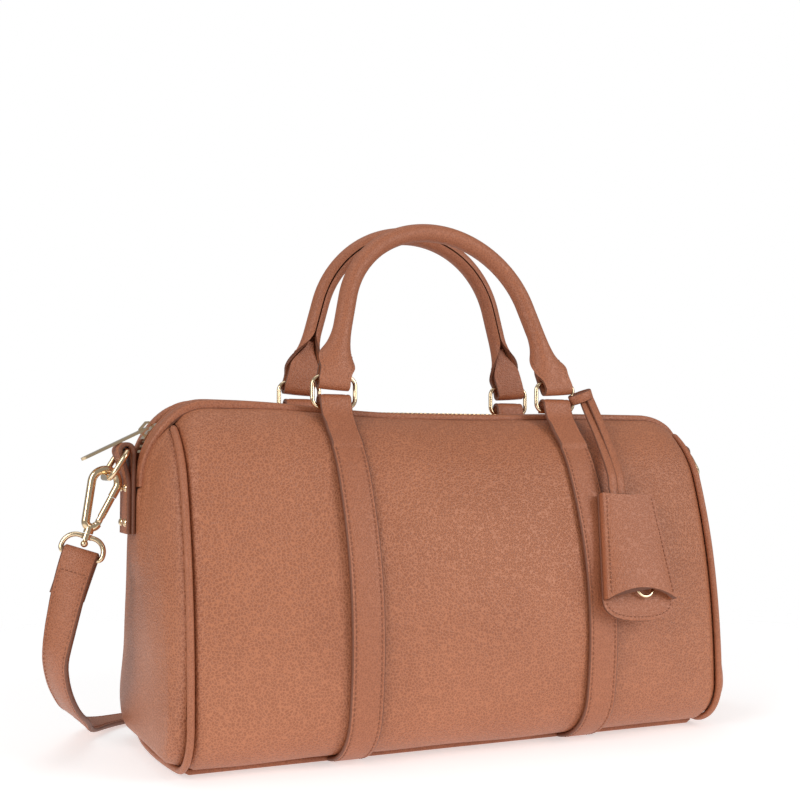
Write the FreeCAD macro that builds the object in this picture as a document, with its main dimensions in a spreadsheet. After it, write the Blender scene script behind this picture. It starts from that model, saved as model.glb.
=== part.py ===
import FreeCAD, Part
import math
import os
from types import SimpleNamespace

from FreeCAD import Placement, Rotation, Vector

# Barrel bag in leather: soft panels, piping, top zip, rolled handles, hooked shoulder strap and key bell.
# Frame: origin on the floor under the middle of the base, X along the bag, front towards -Y, Z up.

# Driving sizes, millimetres and degrees: alias, value, meaning
DRIVING = (
    ("bag_length", 328, "between the two end pipings"),
    ("base_seam_half", 43, "base seam from the middle of the base"),
    ("bottom_lift", 3.2, "underside of front and back leather above the floor"),
    ("corner_radius", 26, "roll from the base up to the front"),
    ("bow_radius", 445, "large arc of the front"),
    ("shoulder_height", 157, "height where the front starts to turn over"),
    ("shoulder_radius", 54.7, "turn from the front over to the zip strip"),
    ("swell", 16, "stuffed middle past the profile of the ends"),
    ("skin", 2, "leather of panels and folds"),
    ("seam_gap", 0.2, "room left at sewn seams"),
    ("running_gap", 0.35, "room round what moves"),
    ("overrun", 5, "how far cutting shapes run past what they cut"),
    ("piping_radius", 2, "covered cord in the seams"),
    ("piping_proud", 1.5, "piping past the leather beside it"),
    ("dome", 14, "bulge of an end panel"),
    ("dome_centre_height", 105, "highest point of the bulge"),
    ("board_thickness", 2.5, "stiff board over the base"),
    ("board_margin", 10, "board short of the end seams"),
    ("lining_thickness", 1, "fabric lining"),
    ("strip_half", 22, "half width of the whole zip strip"),
    ("strip_corner_radius", 35, "turn of the zip strip at the top corners, at its underside"),
    ("strip_reach", 13, "underside of the zip strip past the end seam"),
    ("strip_tail", 6, "zip strip below its corner turns"),
    ("facing_thickness", 3, "turned edge leather beside the zip"),
    ("facing_gap_half", 6.5, "inner edge of a facing from the middle"),
    ("tape_thickness", 0.9, "zip tape"),
    ("strip_tail_half", 11.5, "half width of the zip strip at its tails"),
    ("strip_taper_drop", 6, "where the strip starts to narrow, below the top seam"),
    ("tape_half", 10.5, "outer edge of a zip tape from the middle"),
    ("teeth_gap_half", 0.8, "tooth tips from the middle"),
    ("tooth_width", 3.2, "across the zip"),
    ("tooth_height", 2.4, "above the tape"),
    ("tooth_length", 1.5, "along the zip"),
    ("tooth_pitch", 3, "from one tooth to the next"),
    ("tooth_start_angle", 26, "first tooth above the level of the corner centre"),
    ("slider_angle", 40, "slider above the level of the corner centre"),
    ("slider_length", 10.5, "along the zip"),
    ("slider_half", 5, "half width of the slider"),
    ("slider_plate", 1.2, "upper and lower plate"),
    ("slider_post_half", 0.45, "half width of the post between the teeth"),
    ("bridge_length", 8.4, "arch on the slider"),
    ("bridge_height", 4.6, "arch above the upper plate"),
    ("bridge_width", 2.2, "arch across the zip"),
    ("bridge_bar", 1.4, "thickness of the arch"),
    ("pull_length", 39, "zip pull plate"),
    ("pull_width", 7, "zip pull plate"),
    ("pull_thickness", 1.5, "zip pull plate"),
    ("pull_window", 4.2, "window of the pull along its length"),
    ("pull_drop_angle", 26, "pull below the level at rest"),
    ("body_strap_width", 19, "body straps, handle tabs"),
    ("body_strap_thickness", 2.5, "padded body strap"),
    ("body_strap_lift", 0.45, "underside of a body strap off the panel"),
    ("ring_x", 72.7, "handle rings from the middle"),
    ("ring_y", 29.5, "handle rings from the middle"),
    ("ring_rise", 12.23, "centre of a handle ring above the top seam"),
    ("ring_width", 25.9, "between the side wires of an oval ring"),
    ("ring_depth", 17.3, "between the bars of an oval ring"),
    ("ring_corner", 5, "corner turn of an oval ring"),
    ("ring_wire_radius", 1.25, "handle ring wire"),
    ("fold_half", 4.2, "half thickness of a leather fold round a ring"),
    ("fold_slot_half", 2.2, "half width of the hollow in a fold"),
    ("fold_spacing", 1, "end of a fold from the ring's centre"),
    ("handle_arch_radius", 61.3, "middle line of a handle"),
    ("handle_arch_height", 42.5, "arch centre above the rings"),
    ("handle_splay_angle", 15, "legs of a handle from upright"),
    ("handle_radius", 5.5, "rolled handle"),
    ("handle_core_radius", 3.2, "cord inside a handle"),
    ("flare_top", 40, "rolled handle starts to flatten, above the rings"),
    ("tab_top", 18, "top of a handle tab above the rings"),
    ("front_handle_lean", 15, "front handle towards the zip"),
    ("back_handle_lean", 1, "back handle towards the zip"),
    ("side_tab_width", 20, "leather tab on an end"),
    ("side_tab_layer", 2.4, "one layer of the tab"),
    ("side_tab_drop", 16.37, "top of the tab below the top seam"),
    ("side_tab_length", 50, "top to bottom of the tab"),
    ("side_slot_radius", 2.5, "hollow of the tab's loop"),
    ("stud_spacing", 11, "studs across the tab"),
    ("stud_upper", 25, "upper studs above the tab's bottom"),
    ("stud_lower", 6, "lower studs above the tab's bottom"),
    ("stud_head_radius", 2.3, "stud"),
    ("stud_head_height", 1.5, "stud"),
    ("stud_shank_radius", 1.1, "stud"),
    ("side_ring_wire_radius", 1.6, "side ring"),
    ("side_ring_tilt", 32, "side ring out from upright"),
    ("left_hook_tilt", 18, "left hook out from upright"),
    ("right_hook_tilt", 8, "right hook out from upright"),
    ("hook_top_radius", 7.1, "bow of the hook, middle line"),
    ("hook_bottom_radius", 3.3, "foot of the hook, middle line"),
    ("hook_span", 22, "between bow centre and foot centre"),
    ("hook_nose", 5, "straight nose of the hook past its bow"),
    ("hook_wire_radius", 2.3, "hook wire"),
    ("gate_radius", 2, "gate bar"),
    ("gate_pin_radius", 0.6, "rivet of the gate"),
    ("swivel_boss_radius", 2.7, "foot boss and eye hub"),
    ("swivel_boss_length", 3.4, "foot boss below the wire's middle line"),
    ("swivel_hub_length", 3.2, "eye hub"),
    ("swivel_pin_radius", 1.2, "swivel pin"),
    ("swivel_head_radius", 2, "ball under the hub"),
    ("eye_half", 11.6, "half width of the strap eye, middle line"),
    ("eye_shoulder", 7.5, "upper corners of the strap eye"),
    ("eye_side", 0.6, "straight sides of the strap eye"),
    ("eye_corner", 2.6, "lower corners of the strap eye"),
    ("eye_wire_radius", 1.4, "strap eye"),
    ("eye_turn", 22, "strap eye turned on its swivel"),
    ("strap_width", 19.4, "shoulder strap"),
    ("strap_thickness", 3, "shoulder strap"),
    ("strap_lead", 4, "straight strap below its folded end"),
    ("strap_fold_length", 26, "folded end of the strap below the eye bar"),
    ("strap_back", 119, "strap behind the bag, from the middle of the bag"),
    ("thong_width", 4.4, "key thong"),
    ("thong_thickness", 1.4, "key thong"),
    ("thong_spacing", 2.9, "each leg of the thong from its middle"),
    ("thong_reach", 14, "straight thong above the bell"),
    ("bell_drop", 47.37, "top of the key bell below the top seam"),
    ("bell_top_x", 98, "top of the key bell from the middle of the bag"),
    ("bell_top_half", 15.2, "half width of the bell at its top"),
    ("bell_mouth_half", 22.8, "half width of the bell at its mouth"),
    ("bell_length", 62, "top of the bell to the foot of its cover"),
    ("bell_arch", 6, "rise of the mouth's arch"),
    ("bell_lip", 11.4, "back piece below the cover"),
    ("bell_leather", 1.6, "bell leather"),
    ("bell_hollow", 5.6, "room inside the bell"),
    ("bell_wall", 3, "sewn edges of the bell"),
    ("bell_roll", -2, "bell turned in its own plane"),
    ("bell_lean", 16, "top of the bell towards the bag"),
    ("bell_clear", 2, "bell off the body strap"),
    ("key_ring_radius", 5.6, "key ring, middle line"),
    ("key_ring_wire_radius", 0.8, "key ring"),
    ("key_ring_depth", 55, "key ring's centre below the bell's top"),
)

# Shares, chosen by hand, of the sizes that they follow
STATION_SHARES = (-1, -0.5, 0, 0.5, 1)
DOME_SHARES = (1, 0.9, 0.75, 0.55, 0.3, 0.12)
FLANK_STEPS = 10
SEARCH_STEPS = 40
FLANK_TOP_SHARES = (0.5, 1)
PANEL_TOP_SHARE = 0.995
LINING_TOP_SHARE = 0.98
THONG_BEND_SHARE = 2.3
HANG_SHARE = 0.8
BELL_REST_SHARES = (0, 0.5, 1)
SIDES = (("left", -1), ("right", 1))
FACES = (("front", -1), ("back", 1))

# Route of the shoulder strap from the left eye round behind the bag to the right eye: middle points as
# shares of half the length, the way back and the hang, then the direction across to the nearer edge
STRAP_ROUTE_SHARES = (
    ((-1.338, 0, 0.975), (0.52, -0.85, 0)),
    ((-1.34, 0.042, 0.795), (0.46, -0.89, 0)),
    ((-1.314, 0.134, 0.564), (0.4, -0.91, -0.05)),
    ((-1.265, 0.277, 0.37), (0.14, -0.98, -0.1)),
    ((-1.213, 0.445, 0.236), (-0.18, -0.97, -0.14)),
    ((-1.168, 0.605, 0.146), (-0.3, -0.94, -0.14)),
    ((-1.095, 0.773, 0.092), (-0.4, -0.9, -0.13)),
    ((-0.988, 0.874, 0.06), (-0.34, -0.92, -0.15)),
    ((-0.823, 0.924, 0.034), (-0.15, -0.98, -0.09)),
    ((-0.58, 0.95, 0.014), (-0.06, -1, -0.03)),
    ((-0.305, 0.966, 0), (-0.02, -1, 0)),
    ((0, 0.975, 0), (0, -1, 0)),
    ((0.488, 0.992, 0), (-0.04, -1, 0)),
    ((0.744, 0.966, 0.008), (-0.2, -0.98, -0.05)),
    ((0.915, 0.908, 0.022), (-0.43, -0.9, -0.12)),
    ((1.043, 0.807, 0.031), (-0.66, -0.75, -0.17)),
    ((1.14, 0.655, 0.055), (-0.81, -0.58, -0.14)),
    ((1.207, 0.479, 0.124), (-0.9, -0.43, -0.08)),
    ((1.25, 0.286, 0.258), (-0.89, -0.45, -0.03)),
    ((1.268, 0.126, 0.467), (-0.84, -0.54, 0)),
    ((1.262, 0.025, 0.721), (-0.76, -0.65, 0)),
    ((1.244, -0.008, 0.945), (-0.72, -0.69, 0)),
)

doc = FreeCAD.newDocument("barrel_bag")
sheet = doc.addObject("Spreadsheet::Sheet", "sizes")
for row, (alias, value, meaning) in enumerate(DRIVING, start=1):
    sheet.set(f"A{row}", meaning)
    sheet.set(f"B{row}", str(value))
    sheet.setAlias(f"B{row}", alias)
doc.recompute()
S = SimpleNamespace(**{alias: float(sheet.get(alias)) for alias, value, meaning in DRIVING})

PARTS = []


# Small helpers

def sine(degrees):
    return math.sin(math.radians(degrees))


def cosine(degrees):
    return math.cos(math.radians(degrees))


def keep(obj, label):
    obj.Label = label
    PARTS.append(obj)
    return obj


def feature(label, shape, placement=None):
    obj = doc.addObject("Part::Feature", label)
    obj.Shape = shape
    if placement:
        obj.Placement = placement
    return keep(obj, label)


def polar(centre, radius, degrees):
    return (centre[0] + radius * cosine(degrees), centre[1] + radius * sine(degrees))


def flat_line(start, end):
    return Part.LineSegment(Vector(*start), Vector(*end))


def flat_arc(centre, radius, start, end):
    points = [polar(centre, radius, angle) for angle in (start, (start + end) / 2, end)]
    return Part.Arc(*[Vector(*point) for point in points])


def flat_polygon(points):
    return [flat_line(a, b) for a, b in zip(points, points[1:] + points[:1])]


def on_side(x):
    """Turns a flat curve in (depth, height) into an upright one across the bag at x."""
    return Placement(Vector(x, 0, 0), Rotation(Vector(0, 1, 0), Vector(0, 0, 1), Vector(1, 0, 0), "ZXY"))


def on_front(y):
    """Turns a flat curve in (length, height) into an upright one along the bag at y."""
    return Placement(Vector(0, y, 0), Rotation(Vector(1, 0, 0), Vector(0, 0, 1), Vector(0, -1, 0), "ZXY"))


def wire_of(edges, placement=None):
    wire = Part.Wire([edge.toShape() for edge in edges])
    if placement:
        wire.Placement = placement
    return wire


def prism(edges, placement, height):
    """Solid from a flat outline, grown along its own normal to both sides alike."""
    face = Part.Face(wire_of(edges))
    solid = face.extrude(Vector(0, 0, height))
    solid.translate(Vector(0, 0, -height / 2))
    solid.Placement = placement.multiply(solid.Placement)
    return solid


def tube(path, radius, closed=False):
    """Round bar along a wire."""
    first = path.OrderedEdges[0]
    start = first.valueAt(first.FirstParameter)
    heading = first.tangentAt(first.FirstParameter)
    if first.Orientation == "Reversed":
        start = first.valueAt(first.LastParameter)
        heading = first.tangentAt(first.LastParameter) * -1
    ring = Part.Wire([Part.Circle(start, heading, radius).toShape()])
    return path.makePipeShell([ring], True, closed)


def new_body(name):
    return doc.addObject("PartDesign::Body", name)


def sketch(body, role, edges):
    made = body.newObject("Sketcher::SketchObject", "outline")
    plane = next(item for item in body.Origin.OriginFeatures if item.Role == role)
    made.AttachmentSupport = [(plane, "")]
    made.MapMode = "FlatFace"
    for edge in edges:
        made.addGeometry(edge, False)
    return made


def pad(body, outline, length, midplane=True, flip=False):
    made = body.newObject("PartDesign::Pad", "pad")
    made.Profile = outline
    made.setExpression("Length", length)
    made.Midplane = midplane
    made.Reversed = flip
    return made


def pocket(body, outline, length, midplane=True, flip=False):
    made = body.newObject("PartDesign::Pocket", "pocket")
    made.Profile = outline
    made.setExpression("Length", length)
    made.Midplane = midplane
    made.Reversed = flip
    return made


# Profile of the bag: three tangent arcs from the base seam over the front to the zip strip

LOW_CENTRE = (S.base_seam_half, S.bottom_lift + S.corner_radius)
BOW_CENTRE = (LOW_CENTRE[0] + S.corner_radius - S.bow_radius, LOW_CENTRE[1])
BOW_END = math.degrees(math.asin((S.shoulder_height - LOW_CENTRE[1]) / S.bow_radius))
SHOULDER_CENTRE = polar(BOW_CENTRE, S.bow_radius - S.shoulder_radius, BOW_END)
TOP_END = math.degrees(math.acos((S.strip_half - SHOULDER_CENTRE[0]) / S.shoulder_radius))
SEAM_HEIGHT = polar(SHOULDER_CENTRE, S.shoulder_radius, TOP_END)[1]
LOW_START = math.degrees(math.asin((S.piping_radius + S.seam_gap) / S.corner_radius)) - 90
RING_HEIGHT = SEAM_HEIGHT + S.ring_rise
HALF = S.bag_length / 2
PANEL_HALF = HALF - S.piping_radius - S.seam_gap
ARCS = (
    (LOW_CENTRE, S.corner_radius, LOW_START, 0),
    (BOW_CENTRE, S.bow_radius, 0, BOW_END),
    (SHOULDER_CENTRE, S.shoulder_radius, BOW_END, TOP_END),
)
ARC_LENGTHS = [radius * math.radians(end - start) for centre, radius, start, end in ARCS]
FLANK_LENGTH = sum(ARC_LENGTHS)


def flank_point(share, x, offset, side):
    """Depth and height on the bag's flank: share of the way up, offset outwards, swollen with x."""
    along = share * FLANK_LENGTH
    for arc, length in zip(ARCS, ARC_LENGTHS):
        if along <= length or arc is ARCS[-1]:
            break
        along -= length
    centre, radius, start = arc[:3]
    angle = start + math.degrees(along / radius)
    bulge = S.swell * (1 - (x / HALF) ** 2) * math.sin(math.pi * share)
    depth, height = polar(centre, radius + offset, angle)
    return (side * (depth + bulge), height)


def flank_curve(x, offset, side, start=0, end=1):
    shares = [start + (end - start) * step / FLANK_STEPS for step in range(FLANK_STEPS + 1)]
    points = [flank_point(share, x, offset, side) for share in shares]
    curve = Part.BSplineCurve()
    curve.interpolate([Vector(x, depth, height) for depth, height in points])
    return curve


def flank_section(x, outer, inner, side, start=0, end=1):
    """Closed outline across a sheet of leather on the flank."""
    skin = flank_curve(x, outer, side, start, end)
    back = flank_curve(x, inner, side, start, end)
    tip = Part.LineSegment(skin.EndPoint, back.EndPoint)
    root = Part.LineSegment(back.StartPoint, skin.StartPoint)
    return Part.Wire(Part.__sortEdges__([curve.toShape() for curve in (skin, tip, back, root)]))


def flank_sheet(half_length, outer, inner, side, top_share):
    stations = [share * half_length for share in STATION_SHARES]
    return Part.makeLoft([flank_section(x, outer, inner, side, 0, top_share) for x in stations], True, False)


def end_arcs(offset):
    """Open outline of an end: down the front, under the base and up the back."""
    edges = []
    for side in (-1, 1):
        for centre, radius, start, end in ARCS:
            begin = -90 if centre is LOW_CENTRE else start
            angles = (begin, (begin + end) / 2, end)
            points = [polar(centre, radius + offset, angle) for angle in angles]
            edges.append(Part.Arc(*[Vector(side * depth, height) for depth, height in points]))
    floor = S.bottom_lift - offset
    edges.append(flat_line((-S.base_seam_half, floor), (S.base_seam_half, floor)))
    return edges


# Soft shell

def make_panels():
    for name, side in FACES:
        feature(f"{name}_panel", flank_sheet(PANEL_HALF, 0, -S.skin, side, PANEL_TOP_SHARE))


def make_base():
    length = "sizes.bag_length - 2 * (sizes.piping_radius + sizes.seam_gap)"
    half_width = "(sizes.base_seam_half - sizes.piping_radius - sizes.seam_gap)"
    base = keep(doc.addObject("Part::Box", "base_panel"), "base_panel")
    base.setExpression("Length", length)
    base.setExpression("Width", f"2 * {half_width}")
    base.setExpression("Height", "sizes.skin")
    base.setExpression("Placement.Base.x", f"-({length}) / 2")
    base.setExpression("Placement.Base.y", f"-{half_width}")
    board = keep(doc.addObject("Part::Box", "base_board"), "base_board")
    board_length = "sizes.bag_length - 2 * sizes.board_margin"
    board.setExpression("Length", board_length)
    board.setExpression("Width", f"2 * {half_width}")
    board.setExpression("Height", "sizes.board_thickness")
    board.setExpression("Placement.Base.x", f"-({board_length}) / 2")
    board.setExpression("Placement.Base.y", f"-{half_width}")
    board.setExpression("Placement.Base.z", "sizes.skin + sizes.seam_gap")
    for name, side in FACES:
        label = f"{name}_base_piping"
        piping = keep(doc.addObject("Part::Cylinder", label), label)
        piping.Placement = Placement(Vector(), Rotation(Vector(0, 1, 0), 90))
        piping.setExpression("Radius", "sizes.piping_radius")
        piping.setExpression("Height", length)
        piping.setExpression("Placement.Base.x", f"-({length}) / 2")
        piping.setExpression("Placement.Base.y", f"{side} * sizes.base_seam_half")
        piping.setExpression("Placement.Base.z", "sizes.piping_radius")


def end_outline(x, share, offset):
    """Closed outline of an end, shrunk towards the middle of its bulge."""
    edges = end_arcs(offset)
    top = polar(SHOULDER_CENTRE, S.shoulder_radius + offset, TOP_END)
    edges.append(flat_line((-top[0], top[1]), top))
    shapes = [edge.toShape() for edge in edges]
    wire = Part.Wire(Part.__sortEdges__(shapes))
    wire.Placement = on_side(0)
    grow = FreeCAD.Matrix()
    grow.scale(Vector(1, share, share))
    wire = wire.transformGeometry(grow)
    wire.translate(Vector(x, 0, (1 - share) * S.dome_centre_height))
    return wire


def strip_notch():
    """Room for the zip strip in an end, from its tail upwards, as narrow as the strip."""
    top = SEAM_HEIGHT + S.overrun
    outline = [(S.strip_tail_half, STRIP_TAIL_HEIGHT), (S.strip_half, TAPER_TOP), (S.strip_half, top)]
    outline = [(depth + S.seam_gap, height) for depth, height in outline]
    mirrored = [(-depth, height) for depth, height in reversed(outline)]
    return prism(flat_polygon(outline + mirrored), on_side(0), 2 * (HALF + S.strip_reach + S.dome))


def make_ends():
    inset = S.piping_proud - 2 * S.piping_radius - S.seam_gap
    for name, side in SIDES:
        rims = [end_outline(side * (HALF + S.dome * (1 - share ** 2)), share, inset) for share in DOME_SHARES]
        bulge = Part.makeLoft(rims, True, False)
        hollow = bulge.copy()
        hollow.translate(Vector(-side * S.skin, 0, 0))
        feature(f"{name}_end_panel", bulge.cut(hollow).cut(strip_notch()))
        edges = end_arcs(S.piping_proud - S.piping_radius)
        path = Part.Wire(Part.__sortEdges__([edge.toShape() for edge in edges]))
        path.Placement = on_side(side * HALF)
        trim_half = S.strip_half + S.seam_gap
        corner = Vector(side * HALF - trim_half, -trim_half, S.shoulder_height)
        trim = Part.makeBox(2 * trim_half, 2 * trim_half, S.shoulder_radius, corner)
        feature(f"{name}_end_piping", tube(path, S.piping_radius).cut(trim))


def make_lining():
    outer = -S.skin - S.seam_gap
    inner = outer - S.lining_thickness
    half_length = PANEL_HALF - S.skin - S.seam_gap - S.lining_thickness
    sides = [flank_sheet(half_length, outer, inner, side, LINING_TOP_SHARE) for side in (-1, 1)]
    rim = polar(LOW_CENTRE, S.corner_radius + outer, LOW_START)
    inner_rim = polar(LOW_CENTRE, S.corner_radius + inner, LOW_START)
    corners = [(-rim[0], rim[1]), rim, inner_rim, (-inner_rim[0], inner_rim[1])]
    flat = prism(flat_polygon(corners), on_side(0), 2 * half_length)
    feature("lining", flat.fuse(sides).removeSplitter())
    for name, side in SIDES:
        outline = end_outline(0, 1, outer - S.seam_gap)
        sheet_end = Part.Face(outline).extrude(Vector(S.lining_thickness, 0, 0))
        sheet_end.translate(Vector(side * (half_length + S.seam_gap) - (side < 0) * S.lining_thickness, 0, 0))
        feature(f"{name}_lining_end", sheet_end.cut(strip_notch()))


# Zip strip over the top and down both ends

STRIP_BASE = SEAM_HEIGHT + S.seam_gap
STRIP_CENTRE_X = HALF + S.strip_reach - S.strip_corner_radius
STRIP_CENTRE_HEIGHT = STRIP_BASE - S.strip_corner_radius
STRIP_TAIL_HEIGHT = STRIP_CENTRE_HEIGHT - S.strip_tail
TAPER_TOP = SEAM_HEIGHT - S.strip_taper_drop


def strip_path(offset):
    """Edges of the zip strip's path seen from the front, left end first."""
    radius = S.strip_corner_radius + offset
    left = (-STRIP_CENTRE_X, STRIP_CENTRE_HEIGHT)
    right = (STRIP_CENTRE_X, STRIP_CENTRE_HEIGHT)
    reach = STRIP_CENTRE_X + radius
    top = STRIP_CENTRE_HEIGHT + radius
    return [
        flat_line((-reach, STRIP_TAIL_HEIGHT), (-reach, STRIP_CENTRE_HEIGHT)),
        flat_arc(left, radius, 180, 90),
        flat_line((-STRIP_CENTRE_X, top), (STRIP_CENTRE_X, top)),
        flat_arc(right, radius, 90, 0),
        flat_line((reach, STRIP_CENTRE_HEIGHT), (reach, STRIP_TAIL_HEIGHT)),
    ]


def strip_band(low, high):
    inner = STRIP_CENTRE_X + S.strip_corner_radius + low
    outer = STRIP_CENTRE_X + S.strip_corner_radius + high
    ends = [
        flat_line((-inner, STRIP_TAIL_HEIGHT), (-outer, STRIP_TAIL_HEIGHT)),
        flat_line((outer, STRIP_TAIL_HEIGHT), (inner, STRIP_TAIL_HEIGHT)),
    ]
    return strip_path(low) + strip_path(high) + ends


def make_strip_leather():
    tape_top = -S.seam_gap
    layers = (
        ("zip_facing", 0, S.facing_thickness, "sizes.facing_gap_half", "sizes.strip_half"),
        ("zip_tape", tape_top - S.tape_thickness, tape_top, "sizes.teeth_gap_half", "sizes.tape_half"),
    )
    for name, side in FACES:
        for layer, low, high, near, far in layers:
            label = f"{name}_{layer}"
            body = new_body(label)
            pad(body, sketch(body, "XZ_Plane", strip_band(low, high)), f"{far} - {near}", False, side > 0)
            if layer == "zip_facing":
                taper = [(S.strip_half, TAPER_TOP), (S.strip_tail_half, STRIP_TAIL_HEIGHT)]
                taper += [(S.strip_tail_half, STRIP_TAIL_HEIGHT - S.overrun)]
                taper += [(S.strip_half + S.overrun, STRIP_TAIL_HEIGHT - S.overrun)]
                taper += [(S.strip_half + S.overrun, TAPER_TOP)]
                taper = [(side * (depth - S.facing_gap_half), height) for depth, height in taper]
                pocket(body, sketch(body, "YZ_Plane", flat_polygon(taper)), "2 * sizes.bag_length")
            body.setExpression("Placement.Base.y", f"{side} * {near}")
            keep(body, label)


def strip_stations():
    """Places along the zip with a turn about Y, from the first tooth on the left to the last on the right."""
    turn = 90 - S.tooth_start_angle
    arc = S.strip_corner_radius * math.radians(turn)
    length = 2 * (arc + STRIP_CENTRE_X)
    count = int(length / S.tooth_pitch)
    for step in range(count + 1):
        along = length * step / count
        if along < arc:
            yield -STRIP_CENTRE_X, turn * (along / arc - 1)
        elif along > length - arc:
            yield STRIP_CENTRE_X, turn * (1 - (length - along) / arc)
        else:
            yield along - arc - STRIP_CENTRE_X, 0


def strip_placement(x, turn):
    return Placement(Vector(x, 0, STRIP_CENTRE_HEIGHT), Rotation(Vector(0, 1, 0), turn))


def make_zip_teeth():
    base = S.strip_corner_radius - S.seam_gap
    for name, side in FACES:
        middle = side * (S.teeth_gap_half + S.tooth_width / 2)
        corner = Vector(-S.tooth_length / 2, middle - S.tooth_width / 2, base)
        tooth = Part.makeBox(S.tooth_length, S.tooth_width, S.tooth_height, corner)
        teeth = []
        for x, turn in strip_stations():
            copy = tooth.copy()
            copy.Placement = strip_placement(x, turn)
            teeth.append(copy)
        feature(f"{name}_zip_teeth", Part.makeCompound(teeth))
    stop_half = S.teeth_gap_half + S.tooth_width
    corner = Vector(-S.tooth_length / 2, -stop_half, base)
    stop = Part.makeBox(S.tooth_length, 2 * stop_half, S.tooth_height, corner)
    step = math.degrees(S.tooth_pitch / S.strip_corner_radius)
    stops = []
    for name, side in SIDES:
        copy = stop.copy()
        copy.Placement = strip_placement(side * STRIP_CENTRE_X, side * (90 - S.tooth_start_angle + step))
        stops.append(copy)
    feature("zip_end_stops", Part.makeCompound(stops))


TEETH_TOP = S.strip_corner_radius - S.seam_gap + S.tooth_height
SLIDER_UNDER = TEETH_TOP + S.running_gap
SLIDER_TOP = SLIDER_UNDER + S.slider_plate
BRIDGE_MIDDLE = SLIDER_TOP + (S.bridge_height - S.bridge_bar) / 2
SLIDER_PLACE = strip_placement(-STRIP_CENTRE_X, S.slider_angle - 90)
PULL_PIVOT = SLIDER_PLACE.multVec(Vector(0, 0, BRIDGE_MIDDLE))


def make_zip_slider():
    low_top = S.strip_corner_radius - S.seam_gap - S.tape_thickness - S.running_gap
    low = low_top - S.slider_plate
    half, post = S.slider_half, S.slider_post_half
    corners = [(-half, low), (half, low), (half, low_top), (post, low_top), (post, SLIDER_UNDER)]
    corners += [(half, SLIDER_UNDER), (half, SLIDER_TOP), (-half, SLIDER_TOP), (-half, SLIDER_UNDER)]
    corners += [(-post, SLIDER_UNDER), (-post, low_top), (-half, low_top)]
    body = new_body("zip_slider")
    outline = sketch(body, "YZ_Plane", flat_polygon(corners))
    turned = body.newObject("PartDesign::Revolution", "turned")
    turned.Profile = outline
    turned.ReferenceAxis = (outline, ["H_Axis"])
    turned.Midplane = True
    turned.setExpression("Angle", "sizes.slider_length / sizes.strip_corner_radius * 180 deg / pi")
    foot = SLIDER_TOP - S.slider_plate / 2
    crown = SLIDER_TOP + S.bridge_height
    reach = S.bridge_length / 2
    hole = reach - S.bridge_bar
    arch = [(-reach, foot), (reach, foot), (reach, crown - S.bridge_bar), (hole, crown)]
    arch += [(-hole, crown), (-reach, crown - S.bridge_bar)]
    pad(body, sketch(body, "XZ_Plane", flat_polygon(arch)), "sizes.bridge_width")
    ceiling = crown - S.bridge_bar
    window = [(-hole, SLIDER_TOP), (hole, SLIDER_TOP), (hole, ceiling), (-hole, ceiling)]
    pocket(body, sketch(body, "XZ_Plane", flat_polygon(window)), "sizes.bridge_width + sizes.overrun")
    body.Placement = SLIDER_PLACE
    keep(body, "zip_slider")


def make_zip_pull():
    half = S.pull_width / 2
    bar = S.pull_thickness / 2
    end = S.pull_length - half
    plate = [
        flat_line((-bar, -half), (end, -half)),
        flat_arc((end, 0), half, -90, 90),
        flat_line((end, half), (-bar, half)),
        flat_line((-bar, half), (-bar, -half)),
    ]
    gap = S.bridge_width / 2 + S.running_gap
    window = [(bar, -gap), (bar + S.pull_window, -gap), (bar + S.pull_window, gap), (bar, gap)]
    body = new_body("zip_pull")
    pad(body, sketch(body, "XY_Plane", plate), "sizes.pull_thickness")
    pocket(body, sketch(body, "XY_Plane", flat_polygon(window)), "sizes.pull_thickness + sizes.overrun")
    body.Placement = Placement(PULL_PIVOT, Rotation(Vector(0, 1, 0), 180 - S.pull_drop_angle))
    keep(body, "zip_pull")


# Leather folds that hold the rings

def upright_stadium(middle, low, high, half):
    """Rounded slot outline between two end centres."""
    return [
        flat_line((middle + half, low), (middle + half, high)),
        flat_arc((middle, high), half, 0, 180),
        flat_line((middle - half, high), (middle - half, low)),
        flat_arc((middle, low), half, 180, 360),
    ]


def flank_share_at(value, axis, x, offset):
    """Share of the way up the back flank where depth (axis 0) or height (axis 1) has a value."""
    low, high = FLANK_TOP_SHARES if axis == 0 else (0, 1)
    rising = axis == 1
    for step in range(SEARCH_STEPS):
        share = (low + high) / 2
        if (flank_point(share, x, offset, 1)[axis] < value) == rising:
            low = share
        else:
            high = share
    return share


def strap_fold(x):
    """Fold of a back body strap round its ring."""
    top = RING_HEIGHT - S.fold_spacing
    pivot = RING_HEIGHT - S.ring_depth / 2
    swollen_x = abs(x) - S.body_strap_width / 2
    seat = S.body_strap_lift + S.body_strap_thickness / 2
    feet = []
    for depth in (S.ring_y + S.fold_half, S.ring_y - S.fold_half):
        share = flank_share_at(depth, 0, swollen_x, seat)
        feet.append((depth, flank_point(share, swollen_x, seat, 1)[1]))
    outline = [
        flat_line(feet[0], (feet[0][0], top - S.fold_half)),
        flat_arc((S.ring_y, top - S.fold_half), S.fold_half, 0, 180),
        flat_line((feet[1][0], top - S.fold_half), feet[1]),
        flat_line(feet[1], feet[0]),
    ]
    slot_top = top - S.fold_half
    slot = upright_stadium(S.ring_y, pivot, slot_top, S.fold_slot_half)
    width = S.body_strap_width
    return prism(outline, on_side(x), width), prism(slot, on_side(x), width + S.overrun)


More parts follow.
